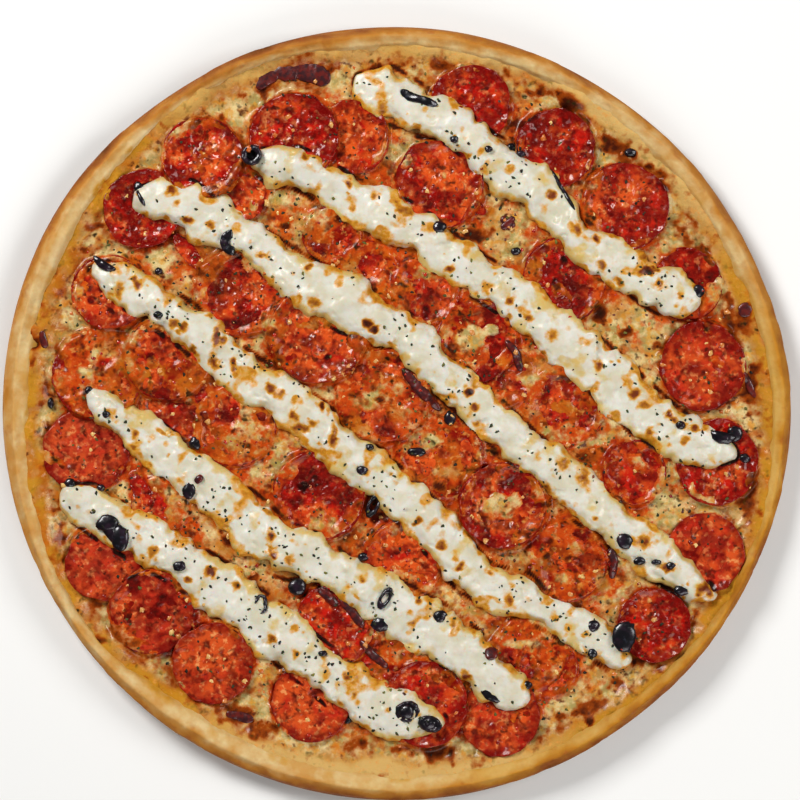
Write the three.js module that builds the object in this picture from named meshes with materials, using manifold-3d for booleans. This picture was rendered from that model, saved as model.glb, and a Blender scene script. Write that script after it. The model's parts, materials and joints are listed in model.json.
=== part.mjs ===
// A round pizza in millimetres, +Z up, standing on z = 0 with its middle on the Z axis.
// Seen from above, +Y is the side of the first cream stripe and +X is to the right.
// A risen crust carries a cheese layer. Slices of pepperoni lie on the cheese, six diagonal
// stripes of baked cream cross the slices, and pieces of black olive sit in the cream.

import * as THREE from 'three';
import { mergeVertices } from 'three/addons/utils/BufferGeometryUtils.js';
import Module from 'manifold-3d';

const wasm = await Module();
wasm.setup();

// ---- Driving dimensions ----

const gap = 0.35; // air between two pieces that touch
const grow = 0.3; // how much larger a piece is made to cut its neighbour

const crust = {
  diameter: 355, // mean over the uneven edge
  base: 5, // dough under the cheese
  rimHeight: 16.5,
  rimHeightChange: 1.1,
  sides: 80,
  // Change of the outer radius, and mean width of the rim, every 30 degrees from +X towards +Y.
  outerChange: [1.7, -1.9, -3.4, -2.4, -0.4, 3.2, 2.9, 1.3, 0.4, 0.1, -0.8, -0.4],
  rimWidth: [12.2, 12.6, 12.4, 13, 10.4, 15.1, 16, 9.4, 16.5, 15.5, 12.2, 7.4],
};

const cheese = {
  thickness: 3,
  edgeRise: 1.7, // how far its edge climbs the rim
  flatTo: 0.965, // share of the inner radius where the climb starts
  sides: 64,
  swellHeight: 1.5, // a slice that the cheese has covered
  swellSides: 12,
  blisterHeight: 1.7, // a bubble of baked cheese
  blisterSides: 7,
};

const slice = {
  thickness: 1.8,
  rimBand: 3.6, // width of the curled edge
  footInset: 1.3, // how far the underside is drawn in
  sag: 0.2, // the middle lies lower than the inner side of the curl
  sides: 16,
  uneven: 0.022,
};

const cream = {
  height: 4.1,
  heightChange: 0.16,
  edge: 1.3, // thickness at its blunt side
  step: 12.5, // length between two sections
  sectionSides: 7,
  footWidth: 0.66,
  endTaper: 5.5,
};

const olive = {
  sink: 2.3, // depth in the cream
  ringHeight: 3.6,
  wall: 0.56, // wall of a ring as a share of its radius
};

const colours = {
  crust: 0xd6a563,
  cheese: 0xd8b878,
  glossySlice: 0xa81a10,
  mattSlice: 0xc0432b,
  cream: 0xe8e4da,
  olive: 0x14121a,
};

// Slices in the order in which they were laid: x, y, radius, height of the curled edge.
const slicePlaces = [
  [-141, -17.5, 20, 0.5], [-136, 16.5, 21, 1.4], [-104, 24, 20, 0.6], [-130.5, 54, 17.5, 0.5],
  [-115.5, 92, 18.6, 1.2], [-71.5, 100, 14.5, 0.5], [-88.5, 114.5, 19, 1.3], [-21, 124, 17, 0.6],
  [-47.5, 124, 20.5, 1.5], [32.5, 138.5, 18.5, 1.2], [71.5, 119.5, 18.5, 1.7], [103, 93, 20.5, 1.1],
  [19, 102.5, 20.5, 1.5], [131, 57, 16.5, 0.9], [138, 20.5, 20.5, 0.6], [144.5, -23, 19.5, 1.7],
  [107, -28, 15, 1.0], [139, -64.5, 18.5, 0.7], [116, -97, 17, 1.5], [76.5, -68.5, 18.6, 0.7],
  [19, -21, 20, 0.6], [47.5, -42.5, 20, 1.4], [-7, 7, 22, 1.2], [-71.5, 54, 21, 1.5],
  [-36, 34.5, 23, 1.3], [-36, -38, 21, 1.4], [-133.5, -68.5, 18, 0.6], [-111.5, -91, 20, 0.7],
  [-84, -114, 19, 0.8], [-40, -132, 18.6, 0.7], [46, -138, 19, 0.9], [12, -133, 20, 1.5],
  [-28.5, -97, 18.6, 1.1], [3, -67.5, 18.6, 0.7], [36, 32, 19, 0.9], [75.5, 59.5, 19.5, 1.2],
];
const glossyCurl = 1.05; // a slice with a higher curl has a glossy dark edge

// Slices that the cheese has covered, and blisters of the cheese: x, y, radius.
const swellPlaces = [
  [-83, -4, 17], [-6, -113, 10], [62, -113, 13], [-22, 80, 10], [0, 60, 12], [57, 8, 13], [86, 2, 12],
];
const blisterPlaces = [
  [-136, 73, 5], [-151, 31, 5], [-61, -139, 6], [77, -130, 6], [94, -121, 5], [124, -46, 6],
  [150, 42, 5], [86, 125, 5], [-45, 143, 7], [-66, 133, 5], [56, 82, 6], [-98, 58, 5],
];

// Centre line of each cream stripe: x, y, width.
const stripePlaces = [
  [[-20, 148.5, 19], [-10, 147, 24], [9, 136, 23], [24, 130, 18], [42, 116, 20], [60, 101, 24], [75, 85, 16],
    [92, 70, 19], [112, 60, 20], [128, 50, 23], [138, 52, 14]],
  [[-68, 114, 14], [-58, 111, 19], [-44, 110, 19], [-31, 102, 19], [-17, 93, 22], [2, 86, 20],
    [26, 68, 20], [55, 49, 20], [85, 25, 22], [114, -2, 23], [132, -14, 20], [148, -19, 15], [154, -20, 9]],
  [[-120, 96, 20], [-105, 94, 24], [-92, 91, 26], [-76, 81, 20], [-65, 76, 16], [-51, 65, 20],
    [-35, 55, 22], [-24, 48, 25], [-10, 42, 23], [3, 34, 20], [26, 12, 19], [53, -13, 19],
    [82, -39, 20], [114, -63, 20], [130, -76, 17], [145, -85, 11]],
  [[-139, 66, 16], [-124, 57, 18], [-96, 39, 20], [-72, 19, 19], [-44, 0, 20], [-20, -20, 20],
    [3, -40, 20], [26, -65, 20], [39, -79, 20], [53, -82, 22], [66, -90, 16], [91, -104, 19], [106, -115, 14]],
  [[-141, 9, 13], [-119, -8, 19], [-94, -28, 20], [-69, -49, 25], [-56, -61, 26], [-40, -67, 25],
    [-26, -74, 18], [1, -90, 25], [28, -107, 23], [53, -128, 19], [60, -133, 11]],
  [[-153, -36, 17], [-142, -42, 21], [-124, -54, 21], [-94, -71, 22], [-67, -91, 23], [-40, -113, 23],
    [-13, -133, 23], [1, -138, 22], [14, -139, 17], [22, -141, 11]],
];

// Olive pieces: x, y, form, length, width, turn in degrees.
const olivePlaces = [
  [-66, 115.4, 'ring', 10, 10, 0],
  [-77.4, 76, 'wedge', 12, 6.4, 95],
  [-133, 66.5, 'strip', 13, 4.4, -32],
  [9, 141.2, 'strip', 20, 6, -25],
  [147, -11.5, 'strip', 13, 6.2, -12],
  [101.8, -101.8, 'wedge', 13.4, 8.4, 80],
  [87.8, -97.3, 'bead', 7.4, 6.2, 20],
  [-10.9, -42.5, 'ring', 13.6, 6, 66],
  [-129, -55.2, 'pair', 15, 8, -46],
  [-45.7, -79.6, 'bead', 9, 8.6, 0],
  [-7.7, -96.4, 'bead', 11.4, 7.6, 8],
  [-5.9, -84.6, 'ring', 11.8, 5.4, 62],
  [24.9, -110, 'ring', 8.2, 8.2, 0],
  [42.5, -128, 'strip', 15, 5.4, -28],
  [4.1, -135.8, 'ring', 12.6, 10, 20],
  [14.5, -141.2, 'ring', 11.4, 8, -15],
];

// ---- Shapes shared by all the pieces ----

const turn = Math.PI * 2;
const smooth = (t) => THREE.MathUtils.smoothstep(t, 0, 1);
const mix = THREE.MathUtils.lerp;
const cheeseTop = crust.base + gap + cheese.thickness;

// A fixed wave in place of a random draw, between -1 and 1.
const wave = (seed, t) => 0.6 * Math.sin(seed * 12.9 + t) + 0.4 * Math.sin(seed * 7.3 + 2.3 * t);

// Value at an angle of a list that goes once round the pizza.
function around(list, angle) {
  const at = (((angle / turn) % 1) + 1) % 1 * list.length;
  const first = Math.floor(at);
  return mix(list[first % list.length], list[(first + 1) % list.length], smooth(at - first));
}

const outerRadius = (angle) => crust.diameter / 2 + around(crust.outerChange, angle);
const innerRadius = (angle) => outerRadius(angle) - around(crust.rimWidth, angle);

// Radius of a share of the way out: 1 is the inner side of the rim, 2 is the outer edge.
function radiusAt(share, angle) {
  const inner = innerRadius(angle);
  return share <= 1 ? share * inner : mix(inner, outerRadius(angle), share - 1);
}

// Turns a profile round the Z axis. move(point) may shift each vertex.
function revolve(profile, sides, move) {
  const points = profile.map(([r, z]) => new THREE.Vector2(r, z));
  const geometry = new THREE.LatheGeometry(points, sides).rotateX(Math.PI / 2);
  return reshape(geometry, move);
}

function reshape(geometry, move) {
  const places = geometry.getAttribute('position');
  const point = new THREE.Vector3();
  for (let i = 0; i < places.count; i += 1) {
    move(point.fromBufferAttribute(places, i));
    places.setXYZ(i, point.x, point.y, point.z);
  }
  return geometry;
}

// A closed geometry becomes a solid whose faces point out.
function toSolid(geometry) {
  const bare = geometry.clone();
  bare.deleteAttribute('normal');
  bare.deleteAttribute('uv');
  const merged = mergeVertices(bare, 1e-3);
  const vertices = new Float32Array(merged.getAttribute('position').array);
  const corners = Array.from(merged.index.array);
  const kept = [];
  for (let i = 0; i < corners.length; i += 3) {
    const [a, b, c] = corners.slice(i, i + 3);
    if (a !== b && b !== c && c !== a) kept.push(a, b, c);
  }
  if (signedVolume(vertices, kept) < 0) kept.reverse();
  return new wasm.Manifold(
    new wasm.Mesh({ numProp: 3, vertProperties: vertices, triVerts: new Uint32Array(kept) }),
  );
}

function signedVolume(vertices, corners) {
  const [a, b, c] = [new THREE.Vector3(), new THREE.Vector3(), new THREE.Vector3()];
  let sum = 0;
  for (let i = 0; i < corners.length; i += 3) {
    a.fromArray(vertices, corners[i] * 3);
    b.fromArray(vertices, corners[i + 1] * 3);
    c.fromArray(vertices, corners[i + 2] * 3);
    sum += a.dot(b.cross(c));
  }
  return sum;
}

function largestPiece(solid) {
  return solid.decompose().reduce((best, next) => (next.volume() > best.volume() ? next : best));
}

function toGeometry(solid) {
  const mesh = largestPiece(solid).getMesh();
  const geometry = new THREE.BufferGeometry();
  geometry.setAttribute('position', new THREE.BufferAttribute(mesh.vertProperties, 3));
  geometry.setIndex(new THREE.BufferAttribute(mesh.triVerts, 1));
  return geometry.toNonIndexed();
}

// ---- Crust: a flat disc of dough with a risen rim ----

function makeCrust() {
  const { base, rimHeight } = crust;
  const profile = [
    [0, 0], [1.5, 0], [1.84, 2.3], [2, 7], [1.92, 12.2], [1.6, rimHeight], [1.24, rimHeight - 2.4],
    [1, base + 4.6], [0.965, base], [0, base],
  ];
  return toSolid(revolve(profile, crust.sides, (p) => {
    const angle = Math.atan2(p.y, p.x);
    const share = Math.hypot(p.x, p.y);
    const radius = radiusAt(share, angle);
    if (share > 1) p.z += (p.z / rimHeight) * crust.rimHeightChange * wave(1, 5 * angle) * (p.z > 5 ? 1 : 0);
    p.x = radius * Math.cos(angle);
    p.y = radius * Math.sin(angle);
  }));
}

// ---- Cheese: fills the crust, climbs its rim, and covers some slices ----

const cheeseProfile = [
  [0, crust.base + gap], [0.956, crust.base + gap], [0.993, cheeseTop + cheese.edgeRise - 0.2],
  [0.988, cheeseTop + cheese.edgeRise], [cheese.flatTo, cheeseTop], [0, cheeseTop],
];

// Height of what a topping rests on near the rim.
function shoreHeight(x, y) {
  const share = Math.hypot(x, y) / innerRadius(Math.atan2(y, x));
  const climb = (share - cheese.flatTo) / (1 - cheese.flatTo);
  return cheeseTop + Math.max(0, climb) * (cheese.edgeRise + 0.5);
}

function dome([x, y, radius], height, sides, seed) {
  const foot = cheeseTop - 0.8;
  const profile = [[0, foot], [1.1, foot], [0.8, cheeseTop + height * 0.8], [0, cheeseTop + height]];
  return toSolid(revolve(profile, sides, (p) => {
    const reach = radius * (1 + 0.08 * wave(seed, 2 * Math.atan2(p.y, p.x)));
    p.x = x + p.x * reach;
    p.y = y + p.y * reach;
  }));
}

function makeCheese() {
  let solid = toSolid(revolve(cheeseProfile, cheese.sides, (p) => {
    const angle = Math.atan2(p.y, p.x);
    const radius = radiusAt(Math.hypot(p.x, p.y), angle);
    p.x = radius * Math.cos(angle);
    p.y = radius * Math.sin(angle);
  }));
  domes.forEach((part) => { solid = solid.add(part); });
  return solid;
}

const domes = [
  ...swellPlaces.map((place, i) => dome(place, cheese.swellHeight, cheese.swellSides, i)),
  ...blisterPlaces.map((place, i) => dome(place, cheese.blisterHeight, cheese.blisterSides, i + 20)),
];

// ---- Pepperoni slices: shallow cups that tilt where they lie on another slice ----

const sliceReach = (place) => place[2] * (1 + slice.uneven);
const laidSlices = [];

// The slope that lifts a slice from its far edge over something of a given height,
// which starts at reach mm from the slice's middle in the direction (dx, dy).
function lean(place, dx, dy, reach, height) {
  const far = sliceReach(place);
  const slope = height / (far + reach);
  return (x, y) => slope * (far + (x - place[0]) * dx + (y - place[1]) * dy);
}

function liftOf(place) {
  const [x, y] = place;
  const far = sliceReach(place);
  const leans = [];
  const out = Math.hypot(x, y);
  const climb = shoreHeight(x * (1 + far / out), y * (1 + far / out)) - cheeseTop;
  if (climb > 0) leans.push(lean(place, x / out, y / out, far, climb));
  laidSlices.forEach((lower) => {
    const apart = Math.hypot(lower.place[0] - x, lower.place[1] - y);
    const start = apart - sliceReach(lower.place);
    if (start >= far) return;
    const [dx, dy] = [(lower.place[0] - x) / apart, (lower.place[1] - y) / apart];
    const top = lower.lift(x + dx * start, y + dy * start) + slice.thickness;
    leans.push(lean(place, dx, dy, start, top + gap));
  });
  return (px, py) => leans.reduce((top, one) => Math.max(top, one(px, py)), 0);
}

// A curled edge is pressed flat under a slice that was laid later.
function curlAt(index, x, y) {
  return slicePlaces.slice(index + 1).reduce((curl, upper) => {
    const apart = Math.hypot(upper[0] - x, upper[1] - y);
    return curl * THREE.MathUtils.smoothstep(apart, sliceReach(upper) + 1, sliceReach(upper) + 7);
  }, slicePlaces[index][3]);
}

function placeSlice({ place, lift, index }, profile, more) {
  const [x, y, radius] = place;
  return toSolid(revolve(profile, slice.sides, (p) => {
    const angle = Math.atan2(p.y, p.x);
    const share = Math.hypot(p.x, p.y);
    const reach = radius * (1 + slice.uneven * wave(index, 2 * angle)) + more;
    p.x = x + p.x * reach;
    p.y = y + p.y * reach;
    const curl = share > 0.99 && p.z > 0 ? curlAt(index, p.x, p.y) : 0;
    p.z += cheeseTop + gap + lift(p.x, p.y) + curl;
  }));
}

function sliceSolid(laid) {
  const radius = laid.place[2];
  const { thickness } = slice;
  const profile = [
    [0, 0], [1 - slice.footInset / radius, 0], [1, thickness], [1 - slice.rimBand / radius, thickness],
    [0, thickness - slice.sag],
  ];
  return placeSlice(laid, profile, 0);
}

// The room that a slice takes up, with a depth of air under it.
function sliceRoom(laid, under) {
  const top = slice.thickness + grow;
  return placeSlice(laid, [[0, -under], [1, -under], [1, top], [0, top]], grow);
}

slicePlaces.forEach((place, index) => laidSlices.push({ place, index, lift: liftOf(place) }));

// Height that the slices add over the cheese, with a soft edge.
function sliceCover(x, y) {
  return laidSlices.reduce((top, one) => {
    const apart = Math.hypot(x - one.place[0], y - one.place[1]);
    const inside = THREE.MathUtils.smoothstep(one.place[2] + 4 - apart, 0, 5);
    if (inside === 0) return top;
    const rim = one.place[3] * THREE.MathUtils.smoothstep(apart, one.place[2] - 8, one.place[2] - 2);
    return Math.max(top, inside * (one.lift(x, y) + slice.thickness + rim + gap));
  }, 0);
}

// ---- Cream stripes: a low mound bent along its centre line ----

function stripeLine(places) {
  const curve = new THREE.CatmullRomCurve3(places.map(([x, y, width]) => new THREE.Vector3(x, y, width)));
  return { curve, length: curve.getLength() };
}

const stripes = stripePlaces.map(stripeLine);

function stripeSection(stripe, share) {
  const at = stripe.curve.getPointAt(THREE.MathUtils.clamp(share, 0, 1));
  const along = stripe.curve.getTangentAt(THREE.MathUtils.clamp(share, 0, 1));
  const size = Math.hypot(along.x, along.y);
  const fromEnd = Math.min(share, 1 - share) * stripe.length;
  const full = Math.sqrt(1 - (1 - Math.min(1, fromEnd / cream.endTaper)) ** 2);
  return { at, side: [-along.y / size, along.x / size], full: mix(0.45, 1, full) };
}

function stripeHeight(stripeIndex, share) {
  const along = share * stripes[stripeIndex].length;
  return cream.height * (1 + cream.heightChange * wave(stripeIndex + 2, along / 9));
}

function stripeSolid(stripe, index) {
  const steps = Math.round(stripe.length / cream.step);
  const rod = new THREE.CylinderGeometry(1, 1, 1, cream.sectionSides, steps);
  const base = cheeseTop + gap;
  return toSolid(reshape(rod, (p) => {
    const share = p.y + 0.5;
    const { at, side, full } = stripeSection(stripe, share);
    const up = p.z; // 1 at the crest, under -0.5 at the foot
    const half = (at.z / 2) * full;
    const across = up < -0.5 ? Math.sign(p.x) * cream.footWidth * half : p.x * half;
    const [x, y] = [at.x + side[0] * across, at.y + side[1] * across];
    const cover = sliceCover(x, y);
    const height = stripeHeight(index, share) * full;
    const isHub = Math.abs(p.x) < 1e-6 && Math.abs(up) < 1e-6;
    if (isHub) p.set(x, y, base + (cover + height) / 2);
    else if (up < -0.5) p.set(x, y, base);
    else if (up < 0) p.set(x, y, base + cover + cream.edge * full);
    else p.set(x, y, base + cover + height * (up < 0.9 ? 0.78 : 1));
  }));
}

// Top of the cream at a place, or of the cheese and slices where no cream is near.
function topAt(x, y) {
  let top = cheeseTop + sliceCover(x, y);
  stripes.forEach((stripe, index) => {
    for (let i = 0; i <= 60; i += 1) {
      const share = i / 60;
      const { at, full } = stripeSection(stripe, share);
      const off = Math.hypot(x - at.x, y - at.y) / (at.z / 2);
      const height = stripeHeight(index, share) * full * Math.sqrt(Math.max(0, 1 - off * off));
      if (off < 1) top = Math.max(top, cheeseTop + gap + sliceCover(x, y) + height);
    }
  });
  return top;
}

// ---- Olive pieces: rings, wedges, strips and beads that sit in the cream ----

function crescent(length, width, height, filled) {
  const outline = new THREE.Shape();
  const outer = length / 2;
  outline.absarc(0, 0, outer, 0, Math.PI, false);
  if (!filled) outline.absarc(0, 0, outer * 0.32, Math.PI, 0, true);
  const geometry = new THREE.ExtrudeGeometry(outline, { depth: height, bevelEnabled: false, curveSegments: 7 });
  geometry.translate(0, -outer / 2, -height / 2);
  return geometry.scale(1, width / outer, 1);
}

// filled gives the same outline with no hole or hollow.
function oliveForm([, , form, length, width], filled) {
  const half = olive.ringHeight / 2;
  if (form === 'ring') {
    const hole = filled ? 0 : 1 - olive.wall;
    const profile = [[hole, -half], [0.94, -half], [1, half * 0.4], [0.86, half], [hole, half * 0.8], [hole, -half]];
    return revolve(profile, 10, (p) => { p.x *= length / 2; p.y *= width / 2; });
  }
  if (form === 'wedge') return crescent(length, width, olive.ringHeight, filled);
  const ball = new THREE.SphereGeometry(1, 9, 6).rotateX(Math.PI / 2);
  if (form === 'pair') {
    return reshape(ball, (p) => {
      const waist = 0.7 + 0.3 * Math.abs(p.x);
      p.set(p.x * length / 2, p.y * width / 2 * waist, p.z * half);
    });
  }
  if (form === 'strip') {
    return reshape(ball, (p) => {
      const bend = 0.12 * length * (p.x * p.x - 0.5);
      p.set(p.x * length / 2, p.y * width / 2 + bend, p.z * half * 0.8);
    });
  }
  return ball.scale(length / 2, width / 2, half * 1.1);
}

function oliveSolid(place, more) {
  const [x, y, , , , turned] = place;
  const half = olive.ringHeight / 2;
  const geometry = oliveForm(place, more > 0);
  if (more > 0) {
    geometry.computeBoundingBox();
    const size = geometry.boundingBox.getSize(new THREE.Vector3());
    geometry.scale(1 + 2 * more / size.x, 1 + 2 * more / size.y, 1 + 2 * more / size.z);
  }
  geometry.rotateZ(THREE.MathUtils.degToRad(turned));
  const lowest = cheeseTop + 2 * gap + sliceCover(x, y) + half;
  geometry.translate(x, y, Math.max(lowest, topAt(x, y) + half - olive.sink));
  return toSolid(geometry);
}

// ---- The pizza ----

const pizza = new THREE.Group();

function addPiece(name, solid, colour, roughness) {
  const material = new THREE.MeshStandardMaterial({ color: colour, roughness, metalness: 0 });
  const mesh = new THREE.Mesh(toGeometry(solid), material);
  mesh.name = name;
  pizza.add(mesh);
}

const numbered = (word, i) => `${word}_${String(i + 1).padStart(2, '0')}`;

const crustSolid = makeCrust();
const cheeseSolid = makeCheese();
addPiece('crust', crustSolid, colours.crust, 0.75);
addPiece('melted_cheese', cheeseSolid, colours.cheese, 0.5);

// What a topping lies on keeps its form, so the topping is cut by it.
const beds = [crustSolid, cheeseSolid].map((bed) => bed.translate([0, 0, grow]));
const layOn = (solid) => beds.reduce((kept, bed) => kept.subtract(bed), solid);

const sliceWalls = laidSlices.map((one) => sliceRoom(one, 6));
laidSlices.forEach((one, i) => {
  const glossy = one.place[3] > glossyCurl;
  const colour = glossy ? colours.glossySlice : colours.mattSlice;
  let solid = layOn(sliceSolid(one));
  laidSlices.slice(0, i).forEach((lower) => { solid = solid.subtract(sliceRoom(lower, grow)); });
  addPiece(numbered('pepperoni', i), solid, colour, glossy ? 0.3 : 0.5);
});

const oliveWalls = olivePlaces.map((place) => oliveSolid(place, grow));
stripes.forEach((stripe, i) => {
  let solid = layOn(stripeSolid(stripe, i));
  [...sliceWalls, ...oliveWalls].forEach((wall) => { solid = solid.subtract(wall); });
  addPiece(`cream_stripe_${i + 1}`, solid, colours.cream, 0.4);
});

olivePlaces.forEach((place, i) => {
  let solid = layOn(oliveSolid(place, 0));
  sliceWalls.forEach((wall) => { solid = solid.subtract(wall); });
  addPiece(numbered('olive', i), solid, colours.olive, 0.15);
});

// The crust's uneven edge is centred on the Z axis.
const middle = new THREE.Box3().setFromObject(pizza).getCenter(new THREE.Vector3());
pizza.children.forEach((mesh) => mesh.geometry.translate(-middle.x, -middle.y, 0));

export default pizza;
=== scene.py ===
import json
import math

import bmesh
import bpy
import numpy as np
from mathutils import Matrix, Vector
from mathutils.bvhtree import BVHTree

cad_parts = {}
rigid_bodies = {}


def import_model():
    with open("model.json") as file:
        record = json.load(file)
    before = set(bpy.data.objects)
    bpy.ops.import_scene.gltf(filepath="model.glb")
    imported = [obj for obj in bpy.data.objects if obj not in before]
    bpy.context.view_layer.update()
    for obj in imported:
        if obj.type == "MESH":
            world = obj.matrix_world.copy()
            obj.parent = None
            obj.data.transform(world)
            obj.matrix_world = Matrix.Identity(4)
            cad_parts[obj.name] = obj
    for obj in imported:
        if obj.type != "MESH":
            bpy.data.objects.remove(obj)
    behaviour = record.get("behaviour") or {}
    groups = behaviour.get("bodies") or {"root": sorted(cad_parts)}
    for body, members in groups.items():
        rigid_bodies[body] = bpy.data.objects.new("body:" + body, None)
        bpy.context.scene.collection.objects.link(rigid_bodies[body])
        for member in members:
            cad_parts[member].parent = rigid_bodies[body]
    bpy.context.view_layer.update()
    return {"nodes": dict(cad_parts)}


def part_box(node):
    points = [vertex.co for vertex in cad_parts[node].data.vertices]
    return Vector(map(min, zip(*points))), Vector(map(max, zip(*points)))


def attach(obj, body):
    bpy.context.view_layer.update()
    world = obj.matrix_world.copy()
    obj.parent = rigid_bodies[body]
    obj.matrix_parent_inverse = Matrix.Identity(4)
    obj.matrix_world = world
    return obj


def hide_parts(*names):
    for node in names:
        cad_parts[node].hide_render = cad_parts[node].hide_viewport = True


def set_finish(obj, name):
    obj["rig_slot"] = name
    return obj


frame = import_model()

mm = 0.001  # shapes are worked out in millimetres and stored in metres
fullTurn = 2 * math.pi
sky = 60.0  # a height over everything, in mm
print("frame loaded,", len(frame["nodes"]), "solids")

# small tools
# places are read across the picture in 800ths of its width, from its top left
picture = {"middle": (398, 411), "each": 0.4525, "shift": (0.6, 1.25)}


def place(across, down):
    return ((across - picture["middle"][0]) * picture["each"] + picture["shift"][0],
            (picture["middle"][1] - down) * picture["each"] + picture["shift"][1])


def lattice(i, j, seed):
    # a number from -1 to 1 for each crossing of a grid
    h = (i * 374761393 + j * 668265263 + seed * 974634777) & 0xFFFFFFFF
    h = ((h ^ (h >> 13)) * 1274126177) & 0xFFFFFFFF
    h = h ^ (h >> 16)
    return (h & 0xFFFF) / 32767.5 - 1.0


def fade(t):
    # a soft step from 0 to 1 between two crossings
    return t * t * t * (t * (t * 6 - 15) + 10)


def plainGrain(x, y, seed):
    i, j = np.floor(x).astype(np.int64), np.floor(y).astype(np.int64)
    fx, fy = fade(x - i), fade(y - j)
    low = lattice(i, j, seed) * (1 - fx) + lattice(i + 1, j, seed) * fx
    top = lattice(i, j + 1, seed) * (1 - fx) + lattice(i + 1, j + 1, seed) * fx
    return low * (1 - fy) + top * fy


def grain(x, y, size, seed, octaves=2):
    # uneven field between about -1 and 1, size is the width of one lump
    x, y = np.asarray(x, float) / size, np.asarray(y, float) / size
    total, part, weight = 0.0, 1.0, 0.0
    for k in range(octaves):
        total = total + part * plainGrain(x + 17.3 * k, y - 9.1 * k, seed + 31 * k)
        weight += part
        x, y = (x * 0.8 - y * 0.6) * 2.1, (x * 0.6 + y * 0.8) * 2.1  # turned and made finer
        part *= 0.5
    return total / weight * 1.35


def relief(x, y, lump, seed, octaves=2):
    # lump is the width of one lump and its height
    return grain(x, y, lump[0], seed, octaves) * lump[1]


def ease(value, low, high):
    t = np.clip((np.asarray(value, float) - low) / (high - low), 0, 1)
    return t * t * (3 - 2 * t)


def bell(sigma):
    # steps and weights that smooth a row of values
    reach = int(sigma * 3) + 1
    steps = np.arange(-reach, reach + 1)
    weights = np.exp(-0.5 * (steps / sigma) ** 2)
    return steps, weights / weights.sum()


def softLoop(values, sigma, axis=0):
    return sum(w * np.roll(values, k, axis=axis) for k, w in zip(*bell(sigma)))


def softLine(values, sigma):
    steps, weights = bell(sigma)
    return np.convolve(np.pad(values, steps[-1], mode="edge"), weights, mode="valid")


def softField(field, sigma):
    return softLoop(softLoop(field, sigma, 0), sigma, 1)


def treeOfMeshes(meshes):
    # one search tree over some meshes, in millimetres
    points, faces = [], []
    for mesh in meshes:
        start = len(points)
        points += [v.co / mm for v in mesh.vertices]
        faces += [[start + i for i in f.vertices] for f in mesh.polygons]
    return BVHTree.FromPolygons(points, faces)


def treeOf(*names):
    return treeOfMeshes([frame["nodes"][name].data for name in names])


def dropOn(tree, x, y):
    # heights of what lies under each place, nan where there is nothing
    x, y = np.asarray(x, float), np.asarray(y, float)
    heights = np.full(x.shape, np.nan)
    down, flat = Vector((0, 0, -1)), heights.reshape(-1)
    for i, (px, py) in enumerate(zip(x.reshape(-1), y.reshape(-1))):
        hit = tree.ray_cast(Vector((px, py, sky)), down)[0]
        if hit:
            flat[i] = hit.z
    return heights


def linked(name, data):
    piece = bpy.data.objects.new(name, data)
    bpy.context.scene.collection.objects.link(piece)
    return piece


def makeMesh(name, points, faces, marks=None, material=None):
    mesh = bpy.data.meshes.new(name)
    mesh.from_pydata((np.asarray(points) * mm).tolist(), [], faces)
    mesh.validate()
    mesh.shade_smooth()
    for label, values in (marks or {}).items():
        layer = mesh.attributes.new(label, "FLOAT", "POINT")
        layer.data.foreach_set("value", np.asarray(values, np.float32))
    if material:
        mesh.materials.append(material)
    return linked(name, mesh)


def fixNormals(mesh):
    work = bmesh.new()
    work.from_mesh(mesh)
    bmesh.ops.remove_doubles(work, verts=work.verts, dist=0.01 * mm)
    bmesh.ops.recalc_face_normals(work, faces=work.faces)
    work.to_mesh(mesh)
    work.free()


def plainCopy(source):
    # the mesh that an object's modifiers make
    bpy.context.view_layer.update()
    ready = source.evaluated_get(bpy.context.evaluated_depsgraph_get())
    return bpy.data.meshes.new_from_object(ready)


def loopFaces(rings, around):
    # faces of a closed lathe: first pole, rings of points, last pole
    faces = []
    for a in range(around):
        b = (a + 1) % around
        faces.append((0, 1 + b, 1 + a))
        for r in range(rings - 1):
            lo, hi = 1 + r * around, 1 + (r + 1) * around
            faces.append((lo + a, lo + b, hi + b, hi + a))
        last = 1 + (rings - 1) * around
        faces.append((last + a, last + b, 1 + rings * around))
    return faces


def turnedOut(faces):
    return [tuple(reversed(face)) for face in faces]


def sheetFaces(index):
    # square faces between the neighbours of a grid of point numbers
    corners = [index[:-1, :-1], index[:-1, 1:], index[1:, 1:], index[1:, :-1]]
    return np.stack(corners, -1).reshape(-1, 4)


def dressed(piece, slot, *nodes):
    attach(piece, "root")
    if nodes:
        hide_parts(*nodes)
    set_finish(piece, slot)
    return piece


# material tools
def tint(*channels):
    # a colour given from 0 to 255, as the shader wants it
    def line(c):
        c /= 255
        return c / 12.92 if c <= 0.04045 else ((c + 0.055) / 1.055) ** 2.4
    return (*map(line, channels), 1.0)


def palette(**rows):
    return {name: tint(*row) for name, row in rows.items()}


def addNode(tree, kind, sockets=None, **settings):
    node = tree.nodes.new(kind)
    for key, value in settings.items():
        setattr(node, key, value)
    for key, value in (sockets or {}).items():
        if isinstance(value, bpy.types.NodeSocket):
            tree.links.new(value, node.inputs[key])
        else:
            node.inputs[key].default_value = value
    return node


def mixed(tree, share, first, second):
    node = addNode(tree, "ShaderNodeMix", {0: share, 6: first, 7: second}, data_type="RGBA")
    return node.outputs[2]


def ranged(tree, value, low, high, toLow=0.0, toHigh=1.0):
    sockets = {"Value": value, "From Min": low, "From Max": high, "To Min": toLow, "To Max": toHigh}
    return addNode(tree, "ShaderNodeMapRange", sockets).outputs[0]


def sums(tree, operation, first, second):
    return addNode(tree, "ShaderNodeMath", {0: first, 1: second}, operation=operation).outputs[0]


def plus(tree, first, second):
    return sums(tree, "ADD", first, second)


def times(tree, first, second):
    return sums(tree, "MULTIPLY", first, second)


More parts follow.
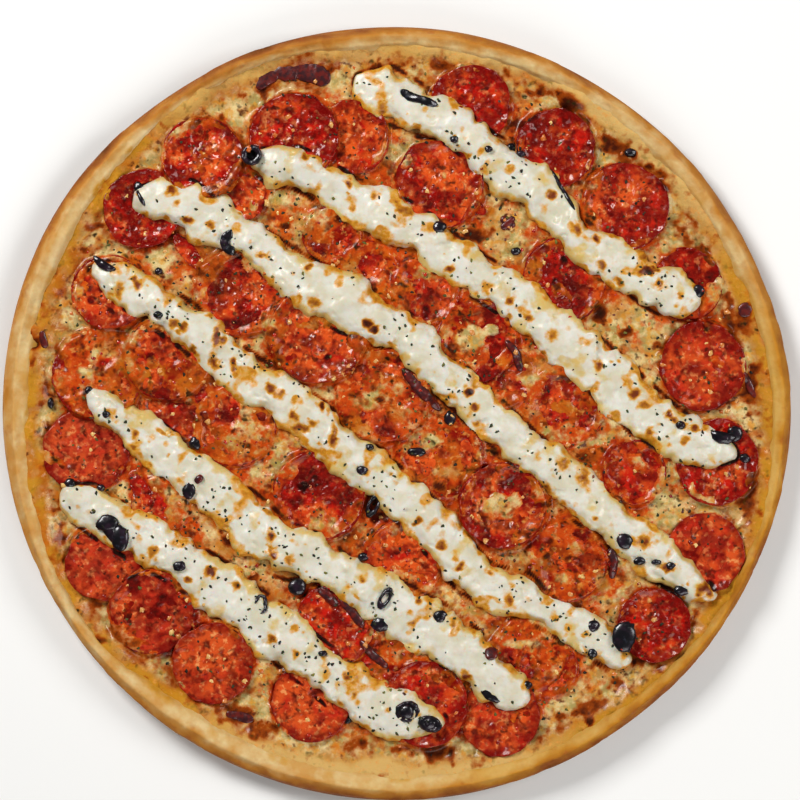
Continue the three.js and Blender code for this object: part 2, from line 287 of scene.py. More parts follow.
def mottle(tree, where, size, detail=3.0, rough=0.55):
    # size is the width of one mark in millimetres
    sockets = {"Vector": where, "Scale": 1 / (size * mm), "Detail": detail, "Roughness": rough}
    return addNode(tree, "ShaderNodeTexNoise", sockets).outputs[0]


def patchy(tree, where, size, low, high, toLow=0.0, toHigh=1.0, detail=3.0):
    return ranged(tree, mottle(tree, where, size, detail), low, high, toLow, toHigh)


def mark(tree, name):
    return addNode(tree, "ShaderNodeAttribute", attribute_name=name).outputs["Fac"]


number, colour, vector = "NodeSocketFloat", "NodeSocketColor", "NodeSocketVector"
white, black = (1, 1, 1, 1), (0, 0, 0, 1)


def newGroup(name, ins, outKind, outName):
    # every group has Where and Mark Size, and puts out one thing
    group = bpy.data.node_groups.new(name, "ShaderNodeTree")
    for label, kind, value in [("Where", vector, None), ("Mark Size", number, 2.0)] + ins:
        socket = group.interface.new_socket(label, in_out="INPUT", socket_type=kind)
        if value is not None:
            socket.default_value = value
    group.interface.new_socket(outName, in_out="OUTPUT", socket_type=outKind)
    given = group.nodes.new("NodeGroupInput").outputs
    return group, given, group.nodes.new("NodeGroupOutput").inputs


def sizedNoise(group, given, **sockets):
    scale = sums(group, "DIVIDE", 1 / mm, given["Mark Size"])
    sockets.update(Vector=given["Where"], Scale=scale)
    return addNode(group, "ShaderNodeTexNoise", sockets).outputs[0]


def useGroup(tree, group, sockets):
    return addNode(tree, "ShaderNodeGroup", sockets, node_tree=group).outputs[0]


def buildBrowning():
    # pale to golden to brown to nearly black, with an uneven border
    group, given, out = newGroup("browning", [
        ("Base", colour, white), ("Baked", number, 0.0), ("Uneven", number, 0.35),
        ("Golden", colour, white), ("Brown", colour, white), ("Char", colour, black)],
        colour, "Color")
    noise = sizedNoise(group, given, Detail=3.0)
    shake = times(group, sums(group, "SUBTRACT", noise, 0.5), given["Uneven"])
    level = plus(group, given["Baked"], times(group, shake, 2.0))
    shade = given["Base"]
    for low, high, name in ((0.08, 0.38, "Golden"), (0.34, 0.68, "Brown"), (0.7, 1.0, "Char")):
        shade = mixed(group, ranged(group, level, low, high), shade, given[name])
    group.links.new(shade, out["Color"])
    return group


def buildSpeckle():
    # small marks of one size; Share is how much of the surface they take
    group, given, out = newGroup("speckle", [("Share", number, 0.3), ("Softness", number, 0.06)],
                                 number, "Mask")
    noise = sizedNoise(group, given, Detail=2.0, Roughness=0.5)
    edge = ranged(group, given["Share"], 0.0, 1.0, 0.76, 0.24)
    made = ranged(group, noise, edge, plus(group, edge, given["Softness"]))
    group.links.new(made, out["Mask"])
    return group


def buildVeins():
    # thin, winding lines, here and there
    group, given, out = newGroup("veins", [("Width", number, 0.02)], number, "Mask")
    noise = sizedNoise(group, given, Detail=1.0, Distortion=0.5)
    off = sums(group, "ABSOLUTE", sums(group, "SUBTRACT", noise, 0.5), 0.0)
    line = ranged(group, off, given["Width"], 0.0)
    moved = addNode(group, "ShaderNodeVectorMath", {0: given["Where"], 1: (0.3, 0.1, 0.0)},
                    operation="ADD").outputs[0]
    broken = patchy(group, moved, 6, 0.46, 0.58)
    group.links.new(times(group, times(group, line, broken), 0.7), out["Mask"])
    return group


browning, speckle, veins = buildBrowning(), buildSpeckle(), buildVeins()


def newMaterial(name, **values):
    material = bpy.data.materials.new(name)
    material.use_nodes = True
    tree = material.node_tree
    shader = tree.nodes["Principled BSDF"]
    for key, value in values.items():
        shader.inputs[key.replace("_", " ")].default_value = value
    where = addNode(tree, "ShaderNodeTexCoord").outputs["Object"]
    return material, tree, shader, where


def bumped(tree, shader, height, distance, strength=1.0):
    sockets = {"Height": height, "Distance": distance * mm, "Strength": strength}
    bump = addNode(tree, "ShaderNodeBump", sockets)
    tree.links.new(bump.outputs[0], shader.inputs["Normal"])


def dabbed(tree, where, shade, look, rows):
    # small marks over a colour: name of the tint, width, share of the surface, softness, strength
    for name, size, share, softness, strength in rows:
        specks = useGroup(tree, speckle, {"Where": where, "Mark Size": size, "Share": share,
                                          "Softness": softness})
        shade = mixed(tree, times(tree, specks, strength), shade, look[name])
    return shade


def baked(tree, where, base, size, uneven, golden, brown, char):
    return useGroup(tree, browning, {"Where": where, "Base": base, "Baked": mark(tree, "bake"),
                                     "Mark Size": size, "Uneven": uneven, "Golden": golden,
                                     "Brown": brown, "Char": char})


def doughMaterial():
    look = palette(pale=(216, 192, 142), cream=(200, 156, 92), golden=(188, 128, 56),
                   amber=(188, 130, 36), brown=(136, 74, 24), dark=(70, 32, 6),
                   straw=(206, 164, 84), light=(234, 216, 172), oil=(196, 144, 54),
                   russet=(160, 88, 40))
    material, tree, shader, where = newMaterial(
        "bakedDough", Roughness=0.62, Specular_IOR_Level=0.2, Subsurface_Weight=0.08,
        Subsurface_Scale=4 * mm)
    yellow = mark(tree, "yellow")
    creamy = patchy(tree, where, 11, 0.36, 0.62)
    base = mixed(tree, creamy, look["pale"], look["cream"])
    base = mixed(tree, ranged(tree, yellow, 0.3, 1.0, 0.0, 0.8), base, look["straw"])
    # painted light: the lightest tint goes where the yellow mark is lowest, on the shaded inner
    # slope at the upper left
    base = mixed(tree, ranged(tree, yellow, 0.02, 0.22, 0.85, 0.0), base, look["light"])
    golden = mixed(tree, yellow, look["golden"], look["amber"])
    shade = baked(tree, where, base, 8.0, 0.24, golden, look["brown"], look["dark"])
    fine = patchy(tree, where, 2.4, 0.32, 0.7, 0.0, 0.22, 4.0)
    shade = mixed(tree, fine, shade, golden)
    ruddy = ranged(tree, mark(tree, "bake"), 0.05, 0.5, 0.1, 0.5)
    shade = dabbed(tree, where, shade, look, [("russet", 5.0, 0.34, 0.12, ruddy)])
    patches = patchy(tree, where, 6, 0.3, 0.55, 0.35, 1.0)
    oily = times(tree, mark(tree, "oil"), patches)
    shade = mixed(tree, oily, shade, look["oil"])
    tree.links.new(shade, shader.inputs["Base Color"])
    tree.links.new(ranged(tree, oily, 0.0, 0.8, 0.62, 0.3), shader.inputs["Roughness"])
    bumped(tree, shader, mottle(tree, where, 2.2, 5.0, 0.6), 0.5, 0.6)
    return material


def cheeseMaterial():
    look = palette(pale=(218, 194, 140), grey=(168, 150, 94), butter=(208, 150, 56),
                   orange=(194, 78, 20), red=(132, 10, 4), oil=(180, 106, 26), golden=(158, 74, 12),
                   brown=(78, 26, 6), dark=(24, 9, 4), dough=(206, 170, 108), green=(96, 90, 26),
                   amber=(204, 112, 26), moss=(158, 140, 72), shore=(190, 138, 42),
                   blush=(216, 152, 80), wine=(64, 5, 4))
    material, tree, shader, where = newMaterial(
        "meltedCheese", Roughness=0.4, Specular_IOR_Level=0.15, Specular_Tint=(1.0, 0.78, 0.5, 1.0),
        Subsurface_Weight=0.08, Subsurface_Scale=2 * mm, Coat_Weight=0.35, Coat_Roughness=0.18)
    red, shore, doughy = mark(tree, "red"), mark(tree, "shore"), mark(tree, "doughy")
    shade = mixed(tree, patchy(tree, where, 5, 0.42, 0.6), look["pale"], look["grey"])
    buttery = patchy(tree, where, 3.6, 0.5, 0.64, 0.0, 0.8)
    shade = mixed(tree, buttery, shade, look["butter"])
    mossy = times(tree, mark(tree, "moss"), patchy(tree, where, 3, 0.4, 0.56))
    shade = mixed(tree, mossy, shade, look["moss"])
    uneven = patchy(tree, where, 3.4, 0.25, 0.75, -0.28, 0.28)
    redness = plus(tree, red, uneven)
    shade = mixed(tree, ranged(tree, redness, 0.18, 0.52), shade, look["orange"])
    shade = mixed(tree, ranged(tree, redness, 0.6, 0.95), shade, look["red"])
    shade = mixed(tree, mark(tree, "oil"), shade, look["oil"])
    shade = dabbed(tree, where, shade, look, [("amber", 6.5, 0.36, 0.14, 0.6),
                                              ("red", 7.5, 0.34, 0.12, red)])
    shade = mixed(tree, shore, shade, look["shore"])
    shade = mixed(tree, doughy, shade, look["dough"])
    shade = dabbed(tree, where, shade, look, [("blush", 2.6, 0.34, 0.12, 0.6)])
    shade = baked(tree, where, shade, 3.2, 0.34, look["golden"], look["brown"], look["dark"])
    inside = times(tree, sums(tree, "SUBTRACT", 1.0, shore), sums(tree, "SUBTRACT", 1.0, doughy))
    clumps = times(tree, patchy(tree, where, 13, 0.42, 0.58, 0.15, 0.9), inside)
    stained = ranged(tree, red, 0.1, 0.6, 0.0, 0.85)
    shade = dabbed(tree, where, shade, look, [
        ("green", 4.6, 0.3, 0.16, 0.5), ("wine", 5.6, 0.36, 0.12, stained),
        ("brown", 3.2, 0.36, 0.14, clumps), ("dark", 4.6, 0.26, 0.1, clumps)])
    tree.links.new(shade, shader.inputs["Base Color"])
    tree.links.new(ranged(tree, inside, 0.2, 1.0, 0.68, 0.4), shader.inputs["Roughness"])
    tree.links.new(ranged(tree, inside, 0.5, 1.0, 0.0, 0.35), shader.inputs["Coat Weight"])
    bumped(tree, shader, mottle(tree, where, 1.8, 4.0, 0.6), 0.7, 0.7)
    return material


def sliceMaterial(name, rough, coat):
    look = palette(deep=(126, 9, 5), red=(192, 28, 12), orange=(216, 92, 34), brick=(188, 76, 46),
                   fat=(230, 154, 96), dark=(38, 5, 4), wine=(78, 4, 4), char=(30, 10, 7))
    material, tree, shader, where = newMaterial(
        name, Roughness=rough, Specular_IOR_Level=0.15, Specular_Tint=(1.0, 0.7, 0.45, 1.0),
        Subsurface_Weight=0.06, Subsurface_Scale=2 * mm, Coat_Weight=coat, Coat_Roughness=0.18)
    base = mixed(tree, patchy(tree, where, 7, 0.42, 0.6), look["deep"], look["red"])
    tone = plus(tree, mark(tree, "tone"),
                patchy(tree, where, 6, 0.3, 0.7, -0.4, 0.4, 4.0))
    zone = patchy(tree, where, 15, 0.4, 0.62, -0.28, 0.34, 2.0)
    warm = ranged(tree, plus(tree, tone, zone), 0.2, 0.75)
    base = mixed(tree, warm, base, look["orange"])
    base = mixed(tree, ranged(tree, mark(tree, "brick"), 0.0, 1.0, 0.0, 0.75), base, look["brick"])
    # of these marks the dark specks are partly painted shade of small crevices, partly the slice's
    # own dark pits
    base = dabbed(tree, where, base, look, [
        ("fat", 2.6, 0.4, 0.12, ranged(tree, warm, 0.0, 1.0, 0.35, 0.85)),
        ("deep", 6.5, 0.4, 0.14, 0.8), ("wine", 5.4, 0.34, 0.12, 0.8),
        ("dark", 3.4, 0.32, 0.1, 0.75)])
    lines = useGroup(tree, veins, {"Where": where, "Mark Size": 8.0, "Width": 0.07})
    base = mixed(tree, lines, base, look["wine"])
    patches = patchy(tree, where, 4, 0.3, 0.6, 0.5, 0.95)
    base = mixed(tree, times(tree, mark(tree, "wine"), patches), base, look["wine"])
    uneven = patchy(tree, where, 8, 0.35, 0.6, -0.12, 0.1)
    edge = ranged(tree, plus(tree, mark(tree, "edge"), uneven), 0.78, 0.99, 0.0, 0.7)
    base = mixed(tree, edge, base, look["deep"])
    shade = baked(tree, where, base, 3.0, 0.4, look["deep"], look["dark"], look["char"])
    tree.links.new(shade, shader.inputs["Base Color"])
    uneven = mottle(tree, where, 4.0, 3.0)
    wet = ranged(tree, uneven, 0.35, 0.65, rough + 0.16, max(rough - 0.08, 0.1))
    tree.links.new(wet, shader.inputs["Roughness"])
    bumped(tree, shader, mottle(tree, where, 2.8, 4.0, 0.6), 1.2, 0.9)
    return material


def creamMaterial():
    look = palette(white=(216, 212, 199), soft=(205, 198, 175), warm=(204, 172, 90),
                   golden=(208, 148, 44), brown=(122, 54, 14), dark=(44, 14, 6))
    material, tree, shader, where = newMaterial(
        "bakedCream", Roughness=0.42, Specular_IOR_Level=0.3, Subsurface_Weight=0.25,
        Subsurface_Scale=3 * mm, Coat_Weight=0.15, Coat_Roughness=0.2)
    base = mixed(tree, patchy(tree, where, 8, 0.4, 0.62), look["white"], look["soft"])
    uneven = patchy(tree, where, 5, 0.3, 0.7, -0.35, 0.35)
    warmth = ranged(tree, plus(tree, mark(tree, "rim"), uneven), 0.25, 0.85, 0.0, 0.85)
    base = mixed(tree, warmth, base, look["warm"])
    shade = baked(tree, where, base, 2.6, 0.3, look["golden"], look["brown"], look["dark"])
    tree.links.new(shade, shader.inputs["Base Color"])
    bumped(tree, shader, mottle(tree, where, 3.0, 3.0, 0.5), 0.3, 0.3)
    return material


def oliveMaterial():
    look = palette(black=(14, 12, 19), violet=(44, 26, 40), bloom=(70, 76, 92))
    material, tree, shader, where = newMaterial("blackOlive", Roughness=0.32, Coat_Weight=0.4,
                                                Coat_Roughness=0.14)
    violet = patchy(tree, where, 4, 0.45, 0.65)
    base = mixed(tree, violet, look["black"], look["violet"])
    # faint bluish grey specks over the black
    base = dabbed(tree, where, base, look, [("bloom", 3.0, 0.25, 0.06, 0.35)])
    tree.links.new(base, shader.inputs["Base Color"])
    bumped(tree, shader, mottle(tree, where, 1.6, 2.0), 0.3, 0.25)
    return material


def flakeMaterial(name, first, second, rough, coat=0.0):
    # each flake has a colour of its own between the two
    material, tree, shader, where = newMaterial(name, Roughness=rough, Coat_Weight=coat,
                                                Coat_Roughness=0.1)
    shade = mixed(tree, mark(tree, "chance"), tint(*first), tint(*second))
    tree.links.new(shade, shader.inputs["Base Color"])
    return material


def scrapMaterial():
    look = palette(brick=(104, 26, 18), purple=(60, 22, 26))
    material, tree, shader, where = newMaterial("darkScraps", Roughness=0.38, Coat_Weight=0.3,
                                                Coat_Roughness=0.1)
    patches = patchy(tree, where, 2.5, 0.4, 0.6)
    shade = mixed(tree, patches, look["brick"], look["purple"])
    tree.links.new(shade, shader.inputs["Base Color"])
    bumped(tree, shader, mottle(tree, where, 1.3, 3.0), 0.3, 0.5)
    return material


doughLook, cheeseLook, creamLook = doughMaterial(), cheeseMaterial(), creamMaterial()
oliveLook, scrapLook = oliveMaterial(), scrapMaterial()
glossy = sliceMaterial("glossyPepperoni", 0.28, 0.6)
matt = sliceMaterial("mattPepperoni", 0.38, 0.35)
print("materials made")

# crust
# the rim is read all round: the middle of its section lies "core" over the ground, and the dough
# reaches some way out from it in each direction, "from" to "to" degrees
crust = {"around": 900, "steps": 46, "readAround": 120, "readSteps": 28, "core": 8.5, "from": -62,
         "to": 196, "farthest": 14.0, "outside": 260, "lipLevel": 11, "soft": 5, "radius": 178,
         "spread": 10, "join": 12, "lumps": ((30, 0.8), (10, 0.5), (3.6, 0.14)), "proudest": 0.5,
         "shrink": 0.7, "least": 2, "bake": 0.58, "shore": 12.0, "floor": 5.0, "inset": 3,
         "seed": 3, "underRings": (0.3, 0.6, 0.85, 0.96), "floorRings": (0.96, 0.6, 0.3)}
# parts of the rim that look different: direction in degrees, half width; the upper left one carries
# painted light
rimParts = {"left": (190, 60), "lowerRight": (318, 44), "right": (345, 40), "below": (268, 60),
            "paintedLightUpperLeft": (126, 40), "dark": (128, 46), "darkBelow": (275, 44), "oily": (217, 34),
            "oilyTop": (143, 13), "yellow": (285, 30)}


def turns(count):
    return np.arange(count) * fullTurn / count


def loopRead(angle, angles, values):
    # a value between the readings of a closed loop
    return np.interp(np.mod(angle, fullTurn), np.append(angles, fullTurn),
                     np.append(values, values[0]))


def readCrust():
    tree = treeOf("crust")
    angles = turns(crust["readAround"])
    tilts = np.radians(np.linspace(crust["from"], crust["to"], crust["readSteps"]))
    core, lip, reach = [], [], []
    up = Vector((0, 0, 1))
    for a in angles:
        out = Vector((math.cos(a), math.sin(a), 0))
        outer = tree.ray_cast(out * crust["outside"] + up * crust["core"], -out)[0]
        inner = tree.ray_cast(up * crust["lipLevel"], out)[0]
        lip.append(math.hypot(inner.x, inner.y))
        core.append((math.hypot(outer.x, outer.y) + lip[-1]) / 2)
        start = out * core[-1] + up * crust["core"]
        far = [tree.ray_cast(start, out * math.cos(t) + up * math.sin(t))[3] for t in tilts]
        reach.append([min(f or crust["farthest"], crust["farthest"]) for f in far])
    return angles, tilts, np.array(core), np.array(lip), np.array(reach)


def band(degrees, centre, width):
    gap = np.abs((degrees - centre + 180) % 360 - 180)
    return 1 - ease(gap, width * 0.5, width)


def innerWall(heights, radii, level):
    # how far out the rim's inner wall stands at a level, read from its crest inwards
    return np.array([np.interp(level, heights[i, k:][::-1], radii[i, k:][::-1])
                     for i, k in enumerate(heights.argmax(1))])


def paleFoot(degrees):
    # where the pale dough runs down to the cheese
    foot = band(degrees, 60, 40) + band(degrees, 268, 36) + 0.7 * band(degrees, 110, 24)
    return np.clip(foot, 0, 1)


def makeCrust():
    angles, tilts, core, lip, reach = readCrust()
    n, m = crust["around"], crust["steps"]
    a = turns(n)
    core, lip = (softLoop(loopRead(a, angles, row), crust["soft"]) for row in (core, lip))
    rows = softLoop(np.stack([loopRead(a, angles, row) for row in reach.T], 1), crust["soft"])
    t = np.radians(np.linspace(crust["from"], crust["to"], m))
    fine = np.stack([np.interp(t, tilts, row) for row in rows])
    # the uneven surface dies away where the loop closes
    along, section = np.meshgrid(a * crust["radius"], t * crust["spread"], indexing="ij")
    seam = ease(np.minimum(along, crust["radius"] * fullTurn - along), 0, crust["join"])

    def wave(size, seed):
        # unevenness over the rim, with lumps of one width
        return grain(along, section, size, seed)

    lumps = sum(wave(size, crust["seed"] + k) * high
                for k, (size, high) in enumerate(crust["lumps"]))
    top = ease(section / crust["spread"], -0.2, 0.5)
    fine = fine + np.minimum(lumps * seam * top, crust["proudest"]) - crust["shrink"]
    fine = np.maximum(fine, crust["least"])
    r = core[:, None] + fine * np.cos(t)
    z = np.maximum(crust["core"] + fine * np.sin(t), 0.0)

    degrees = np.degrees(a)[:, None]
    part = {name: band(degrees, *row) for name, row in rimParts.items()}
    inward = r.max(1)[:, None] - r  # how far in from the outermost line
    inward = inward + seam * (1.6 * wave(24, 21) + 1.1 * wave(9, 22))
    bake = (crust["bake"] - 0.2 * part["left"] + 0.06 * part["right"] + 0.05 * part["lowerRight"]
            + 0.3 * part["dark"] + 0.16 * part["darkBelow"])
    bake = bake * (1 - ease(inward, -2.5, 9.5)) + 0.2 * (1 - ease(np.degrees(t), -30, 10))
    # painted light: less bake and oil on the inner slope at the upper left, so the shaded wall
    # looks lit
    bake += 0.05 * part["below"] + 0.1 * ease(inward, 12, 16) * (1 - part["paintedLightUpperLeft"])
    oil = ease(inward, 12.0 - 2.0 * part["left"], 18) * 0.4 * (1 - part["paintedLightUpperLeft"])
    oil += 0.7 * ease(seam * wave(12, 7), 0.25, 0.75) * ease(inward, 6.5, 11)
    oil += 0.35 * part["oily"] * ease(inward, 7, 11) + 0.5 * part["oilyTop"] * ease(inward, 5, 9)
    # golden where the dough meets the cheese
    foot = r - innerWall(z, r, crust["shore"])[:, None]
    foot = foot + seam * (1.3 * wave(14, 23) + 0.7 * wave(5, 24))
    golden = 0.9 * (1 - ease(foot, -1.0, 1.6)) * (1 - paleFoot(degrees))
    # painted light: less gold on the shaded wall at the upper left
    golden *= 1 - 0.85 * part["paintedLightUpperLeft"]
    golden *= (1 - 0.4 * part["lowerRight"]) * (1 - 0.4 * part["right"])
    oil = np.clip(np.maximum(oil, golden), 0, 1)
    yellow = 0.9 * part["lowerRight"] + 0.8 * part["right"] + 0.3 * part["yellow"] + 0.25
    # painted light: yellow is taken off the upper left's inner slope, which gives the lightest
    # dough tint there
    yellow = np.clip(yellow - 0.25 * part["paintedLightUpperLeft"] * ease(inward, 6, 10), 0, 1)

    # from the middle of the underside, out round the rim and back to the middle under the cheese
    points, marks = [(0, 0, 0)], {"bake": [0.45], "oil": [0], "yellow": [0]}

    def addRing(radius, height, *looks):
        ones = np.ones(n)
        points.extend(np.stack([radius * np.cos(a), radius * np.sin(a), height * ones], 1).tolist())
        for label, value in zip(marks, looks):
            marks[label].extend((value * ones).tolist())

    for share in crust["underRings"]:
        addRing(r[:, 0] * share, 0.0, 0.5, 0, 0)
    for j in range(m):
        addRing(*(field[:, j] for field in (r, z, bake, oil, yellow)))
    for share in crust["floorRings"]:
        addRing((lip - crust["inset"]) * share, crust["floor"], 0.2, 0.5, 0)
    points.append((0, 0, crust["floor"]))
    for values in marks.values():
        values.append(0.2)
    rings = len(crust["underRings"]) + m + len(crust["floorRings"])
    piece = makeMesh("bakedCrust", points, loopFaces(rings, n), marks, doughLook)
    dressed(piece, "crust", "crust")
    return a, r, z


crustAngles, crustR, crustZ = makeCrust()
print("crust made")


def wallRadius(angle, height):
    return loopRead(angle, crustAngles, innerWall(crustZ, crustR, height))


# a square grid over the plate, for what lies where
plate = {"cell": 0.6, "reach": 171.0, "creamSoft": 2.0}


def gridOver(cell):
    axis = np.arange(-plate["reach"], plate["reach"] + 0.1, cell)
    return np.meshgrid(axis, axis)


def readField(field, x, y, cell=plate["cell"]):
    # a value between the four nearest points of a grid
    last = len(field) - 1.001
    i = np.clip((np.asarray(y) + plate["reach"]) / cell, 0, last)
    j = np.clip((np.asarray(x) + plate["reach"]) / cell, 0, last)
    i0, j0 = i.astype(int), j.astype(int)
    fi, fj = i - i0, j - j0
    return (field[i0, j0] * (1 - fi) * (1 - fj) + field[i0 + 1, j0] * fi * (1 - fj)
            + field[i0, j0 + 1] * (1 - fi) * fj + field[i0 + 1, j0 + 1] * fi * fj)


def gapTo(x, y, across, down, wide, tall):
    # how far each place is from a patch of the picture, 1 on its outline
    cx, cy = place(across, down)
    return np.hypot((x - cx) / (wide * picture["each"]), (y - cy) / (tall * picture["each"]))


plateX, plateY = gridOver(plate["cell"])
stripeNames = [f"cream_stripe_{k}" for k in range(1, 7)]
creamCover = (~np.isnan(dropOn(treeOf(*stripeNames), plateX, plateY))).astype(float)
creamNear = softField(creamCover, plate["creamSoft"])

# patches of one look, read off the picture: place, half width, half height
spotRows = {
    "pale": [
        (690, 226, 15, 13), (163, 261, 13, 13), (466, 338, 20, 14), (494, 330, 10, 7),
        (528, 377, 10, 9), (651, 338, 14, 11), (653, 357, 11, 6), (297, 441, 9, 7),
        (502, 502, 20, 14), (590, 444, 16, 6), (565, 577, 9, 6), (664, 506, 14, 26),
        (700, 500, 18, 18), (522, 645, 16, 7), (545, 620, 16, 8), (66, 306, 9, 17), (49, 351, 7, 8),
        (40, 432, 5, 17), (618, 133, 12, 7), (675, 213, 6, 14), (306, 748, 22, 8),
        (378, 750, 20, 9), (572, 702, 15, 13), (592, 655, 14, 8), (86, 372, 13, 8),
        (256, 100, 8, 6), (624, 560, 11, 10), (622, 418, 14, 9), (398, 148, 16, 5),
        (430, 440, 10, 7), (150, 158, 8, 6)],
    "moss": [
        (302, 222, 8, 14), (252, 206, 9, 9), (273, 206, 11, 14), (270, 322, 7, 7),
        (372, 403, 17, 14), (428, 274, 14, 8), (614, 338, 10, 8), (272, 466, 20, 15),
        (232, 446, 11, 9), (322, 520, 17, 16), (408, 448, 9, 6), (152, 476, 8, 8),
        (534, 562, 18, 10), (475, 612, 12, 8), (548, 436, 9, 14), (62, 340, 6, 10),
        (110, 350, 10, 8), (516, 250, 16, 8), (250, 262, 12, 12), (430, 116, 8, 6)],
    "amber": [
        (314, 324, 20, 11), (152, 374, 11, 12), (188, 386, 12, 8), (622, 308, 13, 10),
        (526, 262, 16, 6), (548, 240, 9, 5), (488, 212, 9, 10), (360, 428, 14, 8),
        (262, 588, 16, 10), (276, 597, 8, 7), (455, 470, 22, 9), (572, 456, 14, 7),
        (602, 584, 7, 12), (409, 508, 8, 9), (400, 200, 8, 12), (60, 290, 6, 14),
        (126, 360, 10, 12), (44, 470, 5, 24), (640, 300, 8, 7), (225, 552, 16, 12),
        (350, 265, 10, 6), (600, 632, 14, 8), (560, 406, 22, 9), (545, 366, 18, 10)],
    "wine": [
        (222, 286, 24, 20), (238, 325, 14, 12), (322, 244, 14, 12), (301, 374, 20, 8),
        (308, 343, 7, 7), (163, 350, 10, 10), (166, 396, 22, 9), (430, 306, 13, 19),
        (487, 310, 14, 10), (513, 345, 19, 14), (496, 382, 16, 14), (541, 264, 8, 8),
        (574, 294, 15, 20), (205, 416, 30, 12), (262, 418, 11, 8), (265, 455, 9, 8),
        (313, 478, 18, 16), (345, 492, 18, 15), (294, 501, 11, 6), (352, 538, 10, 20),
        (387, 430, 10, 14), (483, 464, 7, 15), (461, 491, 18, 8), (514, 481, 15, 10),
        (500, 526, 18, 5), (490, 544, 10, 10), (583, 532, 12, 9), (592, 558, 14, 16),
        (584, 596, 13, 11), (501, 626, 15, 8), (355, 366, 26, 5), (414, 318, 6, 20),
        (442, 455, 8, 8), (540, 292, 9, 9)],
    "burnt": [
        (278, 352, 6, 12), (326, 358, 6, 4), (352, 396, 4, 4), (372, 387, 5, 5), (380, 400, 5, 4),
        (425, 312, 6, 9), (456, 345, 6, 5), (476, 234, 16, 8), (563, 262, 6, 6), (556, 288, 5, 10),
        (600, 312, 7, 9), (628, 332, 9, 5), (658, 345, 6, 4), (570, 378, 12, 4), (285, 226, 6, 5),
        (264, 206, 7, 5), (318, 482, 9, 7), (302, 486, 6, 6), (228, 542, 9, 6), (254, 578, 6, 4),
        (530, 568, 4, 4), (546, 556, 4, 4), (604, 536, 7, 6), (540, 505, 13, 4), (238, 322, 6, 5),
        (212, 380, 6, 6), (150, 356, 5, 4), (276, 420, 5, 4), (292, 454, 4, 5), (249, 446, 3, 4),
        (545, 424, 7, 4), (560, 455, 5, 3), (612, 545, 6, 8), (440, 486, 7, 5), (34, 345, 6, 14),
        (90, 300, 4, 5), (746, 310, 9, 10), (752, 384, 6, 17), (634, 153, 5, 4), (651, 166, 5, 5),
        (100, 640, 10, 6), (235, 720, 14, 4), (434, 752, 12, 4), (590, 722, 5, 6),
        (560, 716, 6, 4)]}


def spotField(rows, seed):
    # soft, uneven patches at the given places
    field = np.zeros(plateX.shape)
    uneven = 0.42 * grain(plateX, plateY, 5.5, seed) + 0.3 * grain(plateX, plateY, 2.2, seed + 5)
    for row in rows:
        field = np.maximum(field, 1 - ease(gapTo(plateX, plateY, *row) + uneven, 0.4, 1.35))
    return field * (0.8 + 0.2 * grain(plateX, plateY, 3.4, seed + 7))


spots = {name: spotField(rows, 121 + k) for k, (name, rows) in enumerate(spotRows.items())}

# pepperoni slices
# one row a slice, in the order of the solids: finish, tone (0 red to 1 orange), brick, share under
# cheese, baked
sliceLooks = [
    ("matt", 0.35, 0.7, 0.1, 0.1), ("glossy", 0.2, 0.1, 0.62, 0.2), ("matt", 0.6, 0.2, 0.5, 0.3),
    ("matt", 0.65, 0.3, 0.2, 0.1), ("glossy", 0.1, 0.0, 0.12, 0.3), ("matt", 0.75, 0.1, 0.2, 0.1),
    ("glossy", 0.3, 0.0, 0.22, 0.1), ("matt", 0.6, 0.0, 0.25, 0.1),
    ("glossy", 0.1, 0.0, 0.06, 0.25), ("glossy", 0.2, 0.0, 0.1, 0.2),
    ("glossy", 0.2, 0.0, 0.08, 0.35), ("glossy", 0.45, 0.2, 0.08, 0.3),
    ("glossy", 0.5, 0.0, 0.16, 0.3), ("matt", 0.3, 0.1, 0.3, 0.35), ("matt", 0.3, 0.4, 0.1, 0.25),
    ("glossy", 0.15, 0.0, 0.1, 0.15), ("matt", 0.3, 0.1, 0.2, 0.3), ("matt", 0.45, 0.4, 0.05, 0.4),
    ("glossy", 0.2, 0.0, 0.25, 0.2), ("matt", 0.6, 0.0, 0.42, 0.15), ("matt", 0.6, 0.1, 0.55, 0.2),
    ("glossy", 0.4, 0.0, 0.48, 0.1), ("glossy", 0.65, 0.0, 0.42, 0.15),
    ("glossy", 0.3, 0.0, 0.28, 0.15), ("glossy", 0.7, 0.1, 0.3, 0.1),
    ("glossy", 0.35, 0.0, 0.34, 0.3), ("matt", 0.55, 0.6, 0.14, 0.2), ("matt", 0.4, 0.6, 0.2, 0.45),
    ("matt", 0.7, 0.4, 0.08, 0.15), ("matt", 0.6, 0.4, 0.04, 0.15), ("matt", 0.6, 0.3, 0.1, 0.2),
    ("glossy", 0.35, 0.1, 0.1, 0.2), ("glossy", 0.2, 0.0, 0.2, 0.3), ("matt", 0.65, 0.1, 0.3, 0.15),
    ("matt", 0.25, 0.0, 0.55, 0.1), ("glossy", 0.15, 0.0, 0.32, 0.35)]
ringLike = (2, 19, 22, 35)  # slices whose cheese lies in the middle
# slices that the cheese hides so far that only their edges and colour show: place, half width
hiddenSlices = [
    (178, 405, 40), (235, 425, 42), (160, 505, 30), (385, 655, 32), (528, 655, 38), (548, 668, 32),
    (332, 235, 30), (368, 272, 32), (425, 290, 35), (500, 375, 35), (565, 405, 42)]
# scraps of slice that stick out of the cheese: place, half length, half width, turn
scraps = [
    (188, 252, 23, 8, -52), (141, 490, 19, 9, -60), (35, 338, 13, 5, 80), (491, 653, 11, 7, 70),
    (328, 596, 16, 5, -50), (352, 614, 17, 5, -48), (475, 205, 14, 6, -40), (560, 300, 15, 7, -30),
    (612, 560, 12, 5, -75), (690, 255, 16, 7, -20)]
